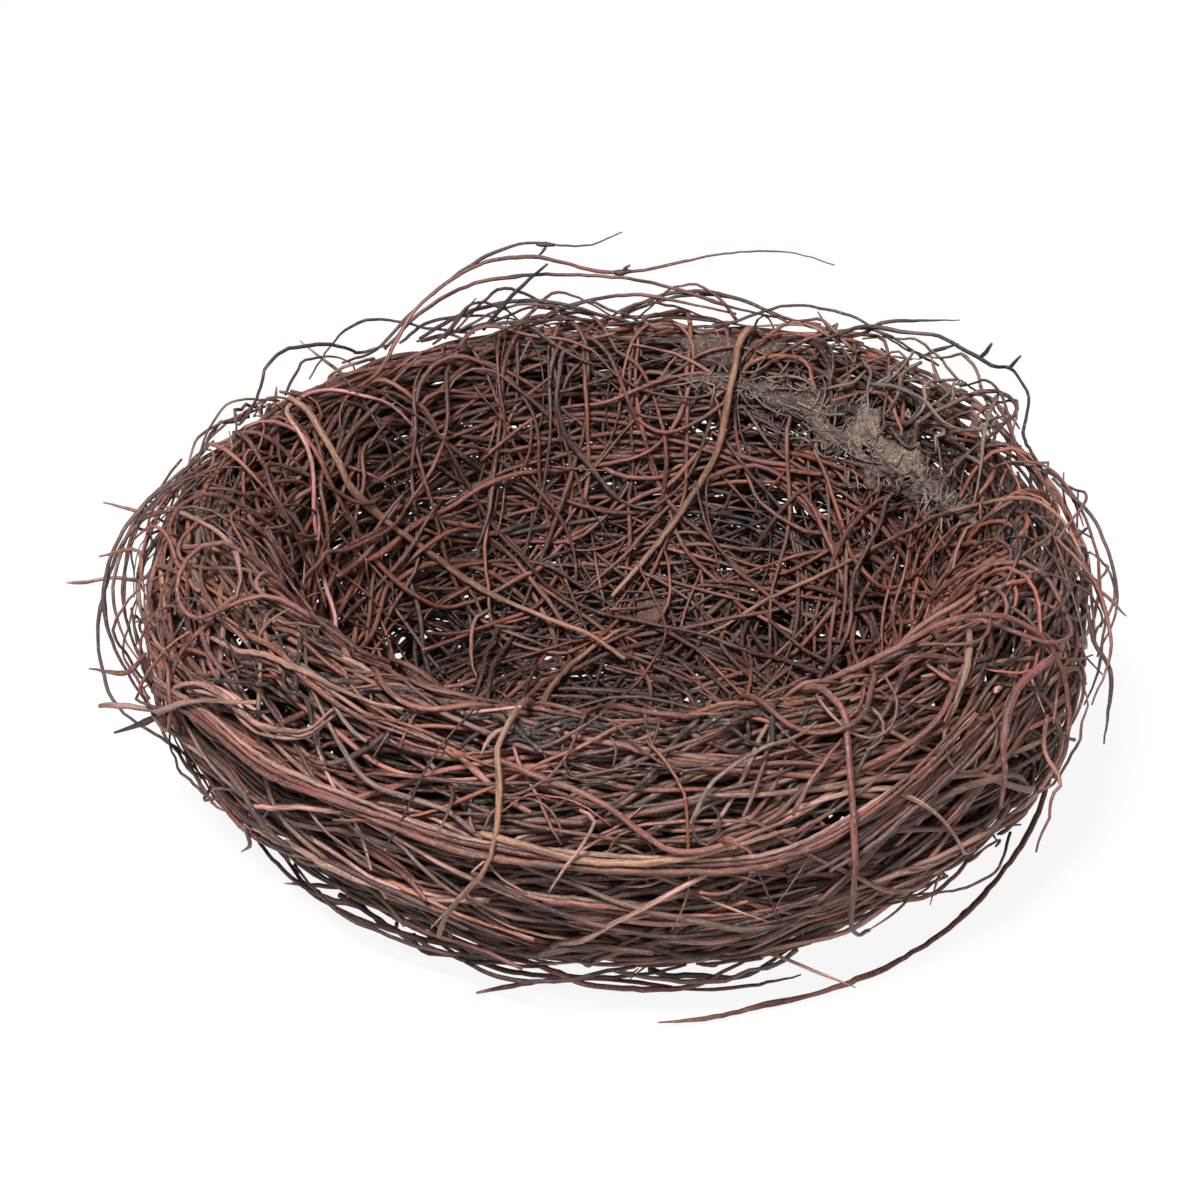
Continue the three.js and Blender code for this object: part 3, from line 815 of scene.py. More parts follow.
BINDERS = (
    Laid("back_binder", "thick", "buff", "tan_stems", (0.9, 0.6), (
        on(67.9, 1.06, 1.6), on(68.2, 1.12, 2.8), on(67.3, 1.2, 3.8), on(67.4, 1.28, 3.5),
        on(68.3, 1.42, 1.9), on(71.5, 1.56, 1.7), on(75.9, 1.69, 1.8), on(82.1, 1.82, 1.9),
        on(88.7, 1.93, 2.0))),
    Laid("diagonal_binder", "thick", "buff", "tan_stems", (0.8, 0.55), (
        on(147.7, 1.03, 1.5), on(147.4, 1.09, 1.5), on(148.6, 1.22, 1.6), on(148.2, 1.35, 1.7),
        on(142.2, 1.49, 1.7), on(132.7, 1.67, 1.8), on(123.3, 1.83, 2.0), on(111.5, 1.98, 2.8),
        on(96.7, 2.25, 4.0), on(81.4, 2.44, 3.4))),
    Laid("left_binder", "medium", "buff", "tan_stems", (0.35, 0.8), (
        on(84.4, 2.1, 1.6), on(95.9, 2.25, 1.5), on(127.6, 2.52, 1.4), on(190, 2.65, 1.4),
        on(243, 2.3, 1.5), on(256, 1.98, 2.0), on(259, 1.78, 1.9), on(260, 1.55, 1.8),
        on(259, 1.3, 1.7), on(258.5, 1.12, 1.6), on(258, 1.0, 1.5), on(256.9, 0.93, 1.4),
        on(257.7, 0.86, 1.3), on(257.6, 0.77, 1.3), on(256.4, 0.695, 1.3), on(253.5, 0.62, 1.3),
        on(250.5, 0.52, 1.3), on(248.7, 0.44, 1.3))),
    Laid("right_binder", "medium", "russet", "russet_stems", (0.8, 0.5), (
        on(296, 1.14, 1.6), on(298.2, 1.04, 1.5), on(298.8, 0.97, 1.4), on(298, 0.92, 1.3),
        on(296.8, 0.82, 1.3), on(296.6, 0.7, 1.3), on(297.2, 0.58, 1.3), on(299.5, 0.45, 1.3),
        on(303, 0.36, 1.3), on(307, 0.3, 1.3))),
    Laid("right_arch", "slim", "buff", "tan_stems", (0.4, 0.7), (
        on(60.5, 2.14, 1.5), on(55, 1.99, 1.9), on(49.4, 1.87, 1.9), on(39.5, 1.72, 1.7),
        on(29.7, 1.56, 1.7), on(17.2, 1.37, 1.9), on(10, 1.27, 2.4), on(4.6, 1.18, 1.9),
        on(359, 1.02, 1.6), on(357, 0.94, 1.5), on(353, 0.88, 1.4), on(350.7, 0.81, 1.6),
        on(350.5, 0.75, 1.9))),
    Laid("rim_hoop", "medium", "russet", "russet_stems", (0.5, 0.8), (
        on(300, 1.13, 1.6), on(306.5, 1.12, 1.8), on(311.5, 1.06, 2.6), on(316, 1.04, 3.4),
        on(320.5, 1.02, 3.8), on(325.5, 0.99, 3.6), on(329.5, 0.94, 2.6), on(331.8, 0.87, 1.7),
        on(331.8, 0.78, 1.3), on(331, 0.68, 1.3), on(330, 0.6, 1.3))),
    Laid("left_knot", "medium", "tan", "tan_stems", (0.6, 0.7), (
        (-73.6, -19.2, 25.6), (-70.9, -20.8, 26.8), on(198.5, 0.635, 1.6), on(203.5, 0.68, 1.4),
        on(208.5, 0.74, 1.4), on(213, 0.785, 1.4), on(218, 0.82, 1.4), on(222.5, 0.85, 1.4))),
)

TENDRILS = (
    Laid("tall_tendril", "fine", "umber", "russet_stems", (0.9, 0.35), (
        on(134, 1.0, 1.4), on(127.5, 1.0, 1.6), (-31.5, 52, 53.8), (-27.5, 54, 56.8),
        (-21.9, 56, 60.4), (-17.1, 57, 62.7), (-12.4, 58, 63.5), (-7.6, 58, 63.1),
        (-2.8, 58, 63.1), (2.3, 58, 65.4))),
    Laid("long_tendril", "fine", "russet", "umber_twigs", (0.9, 0.3), (
        on(135, 1.1, 1.6), on(129.5, 1.07, 1.8), (-31, 49, 55.2), (-24.9, 52, 59.8),
        (-18.6, 54, 62.2), (-11.5, 55, 62.4), (-6.8, 55, 61.4), (-1.2, 55, 59.8),
        (5.2, 55, 60), (11.5, 55, 61.5), (17.8, 55, 62.9), (24.2, 55, 63.5),
        (30.5, 55, 62.9), (36.1, 55, 61))),
    Laid("arched_tendril", "fine", "russet", "russet_stems", (0.9, 0.7), (
        on(124, 0.94, 1.4), (-29.5, 55.2, 52.9), (-22.1, 58, 56.1), (-14, 58.5, 57.5),
        (-7.6, 58.5, 57.7), (0.4, 58, 57.6), (6.8, 57, 57), (13.2, 56.5, 55.4),
        (19.6, 56.4, 53), on(66, 0.97, 1.5), on(60, 0.96, 1.4))),
    Laid("left_loop", "fine", "umber", "umber_twigs", (0.8, 0.6), (
        on(158, 1.0, 1.3), on(154.5, 1.0, 1.8), (-52.8, 25, 54.6), (-51.9, 26, 57.4),
        (-49.8, 30, 58.1), (-46.5, 33, 57.6), (-42.9, 36, 56.4), (-39.9, 38.6, 54.2),
        on(132.5, 1.03, 3.4), on(128, 1.05, 4.6))),
    Laid("back_spur", "fine", "umber", "umber_twigs", (0.9, 0.3), (
        on(56, 1.03, 1.4), on(52, 1.03, 2.2), (44, 50, 53.4), (50, 51, 53.2), (56.2, 52, 52.8))),
    Laid("thorny_tendril", "slim", "soot", "umber_twigs", (0.8, 0.6), (
        on(57, 1.07, 1.6), (40.6, 50, 52.6), (46.5, 47, 53.2), (51.8, 44.5, 53.7),
        (55, 42, 53), (58, 39.5, 52.4), (60.2, 37, 52.1), (62, 33.4, 53.6), (63.3, 29.6, 53.4),
        (64.2, 25.6, 52.2), on(18.3, 0.985, 1.7), on(13.5, 0.99, 1.5), on(8, 0.97, 1.3))),
    Laid("side_loop", "fine", "umber", "umber_twigs", (0.7, 0.5), (
        on(162, 0.97, 1.3), on(167.4, 0.94, 1.2), on(171.3, 0.91, 1.4), on(174.4, 0.86, 1.9),
        (-72, 4, 39.8), (-74.2, 2, 35.4), (-75.6, 0, 30.9), (-76, -2.4, 26.9),
        (-75.2, -5.4, 22.8), (-72.4, -9.4, 18.6), on(192, 0.42, 1.3), on(197, 0.4, 1.1))),
    Laid("pale_wisp", "fine", "tan", "tan_stems", (0.25, 0.8), (
        (-81.6, 6, 31.4), (-78.8, 8.6, 30), (-75.6, 10.6, 29.6), on(170.5, 0.66, 1.5),
        on(165, 0.68, 1.1))),
    Laid("right_hanger", "fine", "umber", "umber_twigs", (0.9, 0.4), (
        on(346, 0.84, 1.2), on(344, 0.77, 1.1), (71.7, -21.4, 33.4), (71.9, -22.4, 27.8),
        (71.5, -23.4, 21.8))),
    Laid("right_hook", "slim", "russet", "russet_stems", (0.9, 0.4), (
        on(326.6, 0.78, 1.1), on(325, 0.72, 1.2), (61.8, -45.8, 30.6), (60.6, -46.9, 28.6),
        (60.4, -47.3, 25.4), (59.3, -47.9, 22.8), (58.8, -48.8, 20.8))),
)

BASE_STEMS = (
    Laid("front_base_stem", "slim", "russet", "russet_stems", (0.5, 0.5), (
        (-18.4, -54.4, 0.8), (-12.4, -52.6, 0.9), (-6.8, -51.4, 0.9), (-1.2, -51.3, 0.9),
        (4.4, -52.3, 0.9), (12.8, -53.8, 0.9), (21.2, -52.6, 0.9), (27, -50.4, 0.9))),
    Laid("left_base_stem", "slim", "tan", "tan_stems", (0.3, 0.8), (
        (-46.8, -33, 4), on(219.5, 0.135, 2.2), on(226, 0.16, 1.5), on(233, 0.19, 1.3),
        on(240, 0.2, 1.2), on(248, 0.21, 1.2), on(255, 0.23, 1.2))),
    Laid("right_base_stem", "medium", "russet", "russet_stems", (0.3, 0.9), (
        (6.8, -61.1, 0.9), (13.9, -60.2, 1), (21, -57.6, 1), (29.7, -54.4, 1),
        (38.6, -49.2, 1), (47.6, -41.4, 1.4), (55.4, -32, 2.6), (62.4, -20.4, 4.6),
        (66.4, -9.6, 6.6))),
)

# Further stems on the front, the rim and in the cup: radius, colour and route.
PICKED = (
    ("thick", "buff", (
        on(256, 0.77, 1.3), on(263, 0.755, 1.2), on(268.4, 0.74, 1.2), on(276, 0.745, 1.2),
        on(283, 0.765, 1.2), on(290, 0.78, 1.2))),
    ("medium", "russet", (
        on(257, 0.91, 1.2), on(263, 0.885, 1.2), on(268, 0.862, 1.2), on(273, 0.805, 1.2),
        on(276, 0.77, 1.9), on(280, 0.765, 1.9), on(286, 0.786, 1.2), on(290, 0.8, 1.2))),
    ("medium", "umber", (
        on(97.5, 1.12, 1.3), on(99.4, 1.245, 1.3), on(99.6, 1.314, 1.4), on(97.7, 1.406, 1.5),
        on(93.7, 1.489, 1.5), on(89, 1.584, 1.4), on(85.2, 1.623, 1.3), on(79, 1.643, 1.1))),
    ("medium", "tan", (
        on(178, 0.93, 1.0), on(182.2, 0.972, 1.2), on(189.8, 1.046, 1.4), on(195, 1.074, 1.4),
        on(203.5, 1.039, 1.4), on(208.2, 0.995, 1.2))),
    ("slim", "umber", (
        on(113, 0.98, 1.2), on(109.4, 1.02, 1.8), on(105.3, 1.03, 2.2), on(102.7, 1.046, 2.0),
        on(99.1, 1.11, 1.5), on(94.9, 1.162, 1.3), on(90.6, 1.19, 1.1))),
    ("thick", "russet", (
        on(329.9, 0.871, 3.1), on(323.8, 0.871, 1.6), on(319.9, 0.843, 1.4), on(317.6, 0.792, 1.3),
        on(317.3, 0.727, 1.2), on(317, 0.66, 1.1))),
    ("fine", "tan", (
        on(266.8, 0.837, 1.6), on(268.4, 0.818, 2.2), on(266.5, 0.76, 2.4), on(265.2, 0.727, 2.0),
        on(263.6, 0.671, 1.4))),
    ("slim", "tan", (
        on(123.1, 1.898, 1.2), on(128.9, 1.922, 1.4), on(137.7, 2.065, 1.4), on(143.8, 2.19, 1.2))),
    ("slim", "russet", (
        on(188, 0.42, 1.4), on(196, 0.41, 1.5), on(206.5, 0.45, 1.3), on(212.6, 0.5, 1.2))),
    ("slim", "ash", (
        on(278.7, 0.812, 1.2), on(281.6, 0.886, 1.5), on(287.2, 0.931, 1.6), on(292.3, 0.945, 1.4),
        on(295.2, 0.965, 1.0))),
    ("slim", "russet", (
        on(289.9, 0.805, 1.0), on(292.2, 0.857, 1.3), on(296.1, 0.908, 1.2), on(297.6, 0.923, 0.8))),
    ("fine", "umber", (
        on(279, 0.792, 0.6), on(280, 0.766, 0.9), on(281.4, 0.786, 1.2), on(281.9, 0.818, 1.3),
        on(281, 0.843, 1.3), on(279.5, 0.831, 1.4), on(278.7, 0.805, 1.5), on(279.5, 0.773, 1.6))),
    ("slim", "soot", (on(109.5, 1.0, 0.6), (-16.2, 57, 53.6), (-12.8, 57.5, 57), (-9.6, 58, 59.8))),
    ("medium", "umber", ((-11.3, 58, 63.3), (-9.8, 58, 63.3), (-8.4, 58, 63.1))),
    ("fine", "umber", ((-9.8, 58, 63.3), (-10.1, 57.8, 62.3), (-10.9, 57.6, 61.6))),
    ("medium", "umber", ((1.1, 55, 59.7), (2.5, 55, 59.8), (3.8, 55, 59.9))),
    ("fine", "umber", ((2.5, 55, 59.9), (2.9, 54.8, 60.6), (3.6, 54.6, 61.2))),
    ("slim", "soot", ((58, 39.5, 52.3), (58.9, 39.3, 53.4), (59.8, 39.2, 55))),
    ("slim", "soot", ((61.8, 33.8, 53.4), (62.6, 33.5, 54.4), (63.6, 33.4, 55.8))),
    ("medium", "ash", (on(322.5, 1.006, 1.4), on(318, 0.96, 1.3), on(313.3, 0.908, 1.2))),
    ("slim", "umber", (
        on(120, 1.0, 1.3), on(112, 0.99, 3.6), on(104, 1.0, 4.6), on(97, 1.02, 4.0),
        on(90, 1.04, 2.4), on(84, 1.06, 1.2))),
    ("slim", "russet", (
        on(100, 0.97, 1.4), on(94, 1.0, 3.4), on(86, 1.0, 4.4), on(78, 1.01, 3.2),
        on(71, 1.0, 1.5))),
    ("slim", "umber", (
        on(88, 0.98, 1.4), on(82, 0.97, 4.2), on(76, 0.98, 4.8), on(69, 1.0, 3.4),
        on(63, 1.02, 1.5))),
    ("fine", "umber", (
        on(123, 0.99, 1.3), on(117, 0.97, 3.4), on(110, 0.98, 3.0), on(104, 0.99, 1.4))),
    ("slim", "umber", (
        on(172, 0.98, 1.3), on(177, 0.9, 3.8), on(181, 0.8, 5.0), on(184, 0.7, 4.6),
        on(187, 0.6, 2.8), on(190, 0.52, 1.2))),
    ("fine", "ash", (
        on(165, 0.9, 1.2), on(171, 0.82, 3.2), on(176, 0.7, 4.4), on(179, 0.6, 3.6),
        on(181, 0.5, 1.3))),
    ("slim", "russet", (
        on(352, 0.96, 1.3), on(348, 0.86, 3.0), on(344, 0.76, 3.4), on(341, 0.66, 1.4))),
    ("fine", "umber", (on(8, 0.95, 1.3), on(3, 0.84, 3.0), on(358, 0.72, 3.2), on(355, 0.62, 1.3))),
)

# Bands of stems that sweep round the front side by side: how many, how far apart in stations,
# shares of their bark, and azimuths with stations.
Band = namedtuple("Band", "count spread shares route")
BANDS = (
    Band(6, 0.02, (55, 28, 0, 17, 0), (
        (200, 0.7), (213, 0.745), (226, 0.73), (240, 0.745), (255, 0.735), (270, 0.735), (283, 0.727),
        (292, 0.747), (303, 0.81), (316, 0.88))),
    Band(4, 0.015, (45, 45, 0, 10, 0), (
        (200.7, 0.683), (207.8, 0.779), (214.7, 0.818), (221.8, 0.805), (230, 0.837), (233.5, 0.9),
        (236, 0.95))),
    Band(5, 0.02, (30, 60, 0, 10, 0), (
        (208.9, 0.923), (214.6, 0.931), (219.8, 0.952), (225.7, 0.952), (232, 0.938), (237.6, 0.923),
        (243, 0.916), (248.4, 0.908))),
    Band(5, 0.02, (45, 0, 0, 50, 5), (
        (289.9, 0.665), (294.3, 0.683), (298.9, 0.708), (305, 0.747), (311, 0.779), (316.3, 0.818),
        (321.3, 0.85), (326.3, 0.893), (332, 0.938))),
    Band(4, 0.03, (50, 20, 0, 25, 5), (
        (254.8, 0.646), (262.6, 0.622), (269, 0.61), (277.5, 0.572), (286, 0.572), (293.7, 0.578),
        (301.8, 0.597))),
    Band(4, 0.03, (40, 20, 0, 35, 5), (
        (213, 0.4), (224, 0.464), (234, 0.513), (245, 0.513), (252.5, 0.485), (261, 0.456))),
)

# Arches that stand off the weave: how many, where they start, how far they run, the stations that
# they lie on, how far they rise off the weave and how much their ends differ in station.
Arc = namedtuple("Arc", "group count azimuths spans levels peaks drop")
ARCS = (
    Arc("loose_loops", 13, (66, 128), (14, 32), (0.96, 1.06), (2.0, 6.0), 0.06),
    Arc("loose_loops", 13, (156, 204), (8, 22), (0.5, 1.0), (1.0, 4.0), 0.34),
    Arc("loose_loops", 7, (-32, 10), (8, 18), (0.55, 0.95), (1.0, 3.2), 0.25),
    Arc("loose_loops", 4, (20, 56), (10, 22), (0.95, 1.03), (1.0, 3.0), 0.06),
    Arc("loose_loops", 6, (186, 214), (12, 28), (0.3, 0.75), (1.2, 3.4), 0.15),
    Arc("loose_loops", 5, (142, 160), (10, 22), (0.92, 1.04), (1.5, 4.4), 0.06),
    Arc("loose_loops", 5, (4, 32), (10, 24), (0.9, 1.03), (1.5, 4.6), 0.06),
    Arc("loose_loops", 6, (318, 352), (12, 26), (0.3, 0.62), (1.2, 3.4), 0.15),
    Arc("foot_loops", 13, (222, 322), (18, 44), (0.2, 0.33), (0.8, 2.8), 0.04),
)
LOWEST_LOOP = 0.3  # station below which only the loops round the foot go

# Stems that are scattered over the nest, how many.
CURLS = 28
SIDE_TWIGS = 300
HOSTS = ("low_coils", "high_coils", "crossing_stems", "rim_stems", "lining_stems")  # they fork from these
CRUSTED_EACH = 4  # at each place of CRUSTS
CREST_RADIUS = 62
LOOSE_GREY_TWIGS = 14

# Thin crossing ends that stand clear of the weave: start, bend and tip.
STUBS = (
    (on(196, 0.74, 0.5), on(194, 0.68, 3.0), (-75.5, -14.5, 29)),
    (on(186, 0.82, 0.5), on(184, 0.86, 2.5), (-74.5, -3.5, 41.5)),
    (on(176, 0.9, 0.5), on(177, 0.88, 3.0), (-74.8, 5.5, 45.5)),
    (on(238, 0.3, 0.5), on(236, 0.25, 1.6), on(233.5, 0.22, 2.4)),
    (on(262, 0.2, 0.5), on(260, 0.15, 1.4), on(257, 0.12, 1.9)),
    (on(284, 0.2, 0.5), on(286, 0.15, 1.8), on(288.5, 0.12, 3.2)),
    (on(272, 0.22, 0.5), on(273, 0.16, 1.8), on(275, 0.11, 3.0)),
    (on(356, 0.78, 0.5), on(354, 0.76, 2.6), on(351.5, 0.75, 4.6)),
    (on(212, 0.42, 0.5), on(211, 0.36, 2.2), on(208, 0.33, 4.4)),
    (on(116, 1.0, 0.5), on(113, 1.0, 3.2), on(110.5, 1.01, 6.4)),
    (on(44, 0.98, 0.5), on(42, 0.97, 3.0), on(41, 0.95, 5.0)),
    (on(258, 0.98, 0.8), on(256, 0.95, 2.2), on(255.4, 0.91, 3.4)),
)

# Grey knotty twigs over the right back rim.
GREY_TWIGS = (
    (on(29, 0.97, 2.2), on(25, 1.01, 2.6), on(20, 1.06, 2.2), on(13, 1.11, 1.9), on(5, 1.16, 1.7)),
    (on(20, 1.06, 2.2), on(22, 1.1, 2.6), on(25, 1.14, 2.2)),
    (on(13, 1.11, 1.9), on(17, 1.14, 2.4), on(19, 1.19, 1.8)),
    (on(49, 1.09, 1.4), on(46, 1.12, 2.2), on(45, 1.17, 2.0), on(43, 1.22, 1.4)),
    (on(41, 1.03, 1.6), on(41, 1.09, 2.6), on(39, 1.15, 2.4), on(40, 1.21, 1.5)),
    (on(34, 1.02, 1.6), on(36, 1.08, 2.8), on(33, 1.13, 2.8), on(34, 1.19, 1.8)),
    (on(45, 1.15, 2.2), on(40, 1.13, 2.9), on(34, 1.12, 2.9), on(28, 1.13, 2.2), on(23, 1.1, 1.6)),
    (on(52, 1.2, 1.5), on(48, 1.16, 2.0), on(47, 1.12, 2.4)),
)

# Middle lines of the bark strip, of the patch beside it and of the leaf chip: azimuth, station and
# half width in stations.
STRIP_SPINE = (
    (76, 1.23, 0.017), (70, 1.231, 0.028), (64, 1.237, 0.031), (58, 1.253, 0.044),
    (53, 1.275, 0.061), (48, 1.295, 0.076), (42, 1.308, 0.084), (36, 1.314, 0.084),
    (29, 1.304, 0.074), (20, 1.278, 0.049), (10, 1.238, 0.03), (0, 1.178, 0.014))
PATCH_SPINE = (
    (78, 1.1, 0.02), (74, 1.11, 0.045), (70, 1.125, 0.05), (66, 1.1, 0.04), (62, 1.08, 0.015))
CHIP_SPINE = ((82, 1.955, 0.045), (78, 1.965, 0.055), (74, 1.975, 0.045))

# Fibres that fray from the bark strip: how many, radii, reach in azimuth and station, and shades.
FRAYS = (
    (90, (0.07, 0.17), (2.6, 0.028), (0.4, 1.8)),
    (65, (0.14, 0.3), (5.0, 0.035), (0.25, 1.3)),
    (45, (0.12, 0.24), (1.4, 0.06), (0.5, 1.9)),
)

# Thin places in the weave: azimuth, station, half widths of both, and the share of stems that stop there.
HOLLOWS = (
    (28, 0.98, 15, 0.24, 0.72),
    (150, 2.0, 12, 0.2, 0.6),
    (100, 2.15, 14, 0.25, 0.35),
    (128, 1.35, 10, 0.16, 0.35),
)

# Where the black and pale crust grows: azimuth, station and length.
CRUSTS = (
    (258, 0.95, 14), (263, 0.93, 10), (276, 1.03, 16), (284, 1.01, 18), (290, 0.99, 12),
    (352, 1.05, 22), (344, 1.02, 20), (338, 0.99, 12), (205, 1.07, 18), (214, 1.0, 16),
    (222, 0.93, 22), (227, 0.88, 18), (36, 1.22, 20), (20, 1.2, 22), (8, 1.18, 20), (318, 0.95, 16),
)


# ---- operators ---------------------------------------------------------------------------------------------
WOVEN = {}  # the settled stems of each group

# Painted light and shade on the stems, as tables of a measure and a factor: painted shade by depth in the
# weave, by height near the foot, by station from the outside into the cup with a little painted light
# outside, and by depth again inside the cup.
DEPTH_SHADES = ([-6, -3.5, -1.6, 0, 1.5], [0.08, 0.19, 0.46, 0.88, 1.06])
FOOT_SHADES = ([0, 15], [0.72, 1])
STATION_SHADES = ([0.75, 1.0, 1.3], [1.06, 0.87, 0.57])
CUP_SHADES = ([-3, -1, 0.5, 2], [0.45, 0.78, 1.08, 1.24])
OUTSIDE_END = 1.05  # station where the outside ends
CUP_STATION = 1.3  # and where the inside begins
WARMTH = (1, 1.27, 1.38)  # powers of the shade for red, green and blue: shade between the stems is warm

# Groups that lie in the open, get no painted shade and keep their colour.
UNSHADED = ("grey_twigs", "bark_fibres", *(item.name for item in BINDERS))


def part_settings():
    scene = bpy.context.scene
    return scene.nest_stems, scene.nest_colours


def kind_radius(stems, kind):
    return getattr(stems, kind) / MM


class NEST_OT_lay_stems(bpy.types.Operator):
    """Lays every stem of the nest and settles them against each other"""

    bl_idname = "nest.lay_stems"
    bl_label = "Lay the stems"

    def execute(self, context):
        stems, colours = part_settings()
        rng = np.random.default_rng(stems.seed)
        laid = self.by_hand(rng, stems, colours) + self.scattered(rng, stems, colours)
        grown = []
        for bundle in wall_bundles(stems):
            grown.extend(bundle_stems(rng, bundle, colours, wall_routes(rng, bundle)))
        for bundle in cup_bundles(stems):
            grown.extend(bundle_stems(rng, bundle, colours, cup_routes(rng, bundle)))
        grown.extend(self.bark_roots(rng, colours, stems.slim / MM))
        grown.extend(self.side_twigs(rng, grown, colours))
        for stem in self.paint_shade(settle(laid + grown, ROUNDS)):
            WOVEN.setdefault(stem.group, []).append(stem)
        return {"FINISHED"}

    @staticmethod
    def by_hand(rng, stems, colours):
        """The stems whose routes are given."""
        laid = []
        for item in BINDERS + TENDRILS + BASE_STEMS:
            laid.append(laid_stem(rng, item.name, kind_radius(stems, item.radius),
                                  getattr(colours, item.colour), item.route, *item.taper))
        for kind, colour, route in PICKED:
            laid.append(laid_stem(rng, "picked_stems", kind_radius(stems, kind),
                                  getattr(colours, colour), route))
        for route in STUBS:
            laid.append(laid_stem(rng, "picked_stems", rng.uniform(stems.fine / MM, stems.slim / MM),
                                  bark_colour(rng, colours, WEATHERED), route, 0.9, 0.35))
        return laid

    def scattered(self, rng, stems, colours):
        """The arches, bands, curls and crusted stems, which go where their tables say, in part at random."""
        medium, slim = stems.medium / MM, stems.slim / MM
        fine, hair = stems.fine / MM, stems.hair / MM
        radii = {"loose_loops": (1.3 * hair, 0.95 * fine), "foot_loops": (fine, 0.9 * medium)}
        laid = []
        for arc in ARCS:
            for _ in range(arc.count):
                route = self.loop(rng, arc)
                laid.append(laid_stem(rng, arc.group, rng.uniform(*radii[arc.group]),
                                      bark_colour(rng, colours, DARK), route, 0.9, 0.6))
        for band in BANDS:
            laid.extend(self.banded(rng, colours, (fine, medium), band))
        for _ in range(CURLS):
            laid.append(self.curl(rng, colours, (0.8 * fine, slim)))
        for azimuth, station, length in CRUSTS:
            laid.extend(self.crusted(rng, colours, fine, azimuth, station, length))
        return laid

    @staticmethod
    def paint_shade(stems):
        """Paints shade into the stems' colours: darker deep in the wall, near the foot and into the cup, a
        little lighter on the outside, and warmer where darker.
        """
        points = np.concatenate([stem.points for stem in stems])
        lifts, stations = FORM.nearest(points)
        lifts = lifts + np.where(stations < OUTSIDE_END, LOOSE_LAYER, 0)
        # Painted shade by depth: stems deep in the weave are darker, where shade falls between them.
        shades = np.interp(lifts, *DEPTH_SHADES)
        # Painted shade near the foot: darker towards the floor.
        shades *= np.interp(points[:, 2], *FOOT_SHADES)
        # Painted light and shade by station: a little lighter on the outside, darker into the cup.
        shades *= np.interp(stations, *STATION_SHADES)
        # Painted shade by depth inside the cup.
        shades *= np.where(stations > CUP_STATION, np.interp(lifts, *CUP_SHADES), 1)
        # The painted shade turns warmer as it darkens, standing in for light bounced between red stems.
        shades = shades[:, None] ** WARMTH
        made, end = [], 0
        for stem in stems:
            start, end = end, end + len(stem.points)
            shade = np.ones((len(stem.points), 1)) if stem.group in UNSHADED else shades[start:end]
            made.append(stem._replace(colour=stem.colour * shade))
        return made

    @staticmethod
    def loop(rng, arc):
        """A route that springs from the wall in an arch and returns to it."""
        start, span = rng.uniform(*arc.azimuths), rng.uniform(*arc.spans) * rng.choice([-1, 1])
        level, fall = rng.uniform(*arc.levels), rng.normal(0, arc.drop)
        peak, lean = rng.uniform(*arc.peaks), rng.uniform(0.7, 1.4)
        route = []
        for share in np.linspace(0, 1, 8):
            rise = math.sin(math.pi * share**lean) ** 1.3
            wobble = rng.normal(0, 0.25)
            station = np.clip(level + fall * (share - 0.5), min(level, LOWEST_LOOP), 1.1)
            route.append(on(start + span * share, station, 0.6 + wobble + peak * rise))
        return route

    @staticmethod
    def side_twigs(rng, parents, colours):
        """Short side shoots and broken-off stubs that fork from the woven stems."""
        made = []
        hosts = [stem for stem in parents if stem.group in HOSTS]
        for pick in rng.integers(0, len(hosts), SIDE_TWIGS):
            host = hosts[pick]
            ring = rng.integers(2, len(host.points) - 3)
            root, ahead = host.points[ring], host.points[ring + 1] - host.points[ring - 1]
            ahead = ahead / np.linalg.norm(ahead) * rng.choice([-1, 1])
            aside = np.cross(ahead, rng.normal(0, 1, 3))
            outward = root * (1, 1, 0) / np.hypot(*root[:2])
            aside -= 0.6 * outward * (aside @ outward)
            aside /= np.linalg.norm(aside)
            length = rng.triangular(3, 5, 17)
            lean, bow = rng.uniform(0.3, 1.0), rng.normal(0, 0.12)
            steps = np.linspace(0, 1, 6)[:, None]
            bent = root + length * steps * (math.cos(lean) * ahead + math.sin(lean) * aside * steps**0.5)
            bent += bow * length * np.sin(math.pi * steps) * np.cross(ahead, aside)
            points = evenly(smooth_line(bent, 4), FINE_RINGS)
            radius = thickness(rng, 0.75 * host.radius[ring], len(points), 1.1, 0.35)
            made.append(Stem("side_twigs", points, radius, host.colour * rng.uniform(0.7, 1.1), False))
        return made

    @staticmethod
    def banded(rng, colours, radii, band):
        """Stems that run side by side along a band's route."""
        made = []
        for _ in range(band.count):
            first, last = rng.integers(0, 2), len(band.route) - rng.integers(0, 2)
            aside = np.interp(np.linspace(0, 1, last - first), [0, 0.5, 1], rng.normal(0, band.spread, 3))
            lift = rng.uniform(-1.8, 0.7)
            route = [on(azimuth, station + shift, lift + rng.normal(0, 0.2))
                     for (azimuth, station), shift in zip(band.route[first:last], aside)]
            stem = laid_stem(rng, "picked_stems", rng.uniform(*radii),
                             bark_colour(rng, colours, band.shares), route)
            made.append(stem._replace(held=False))
        return made

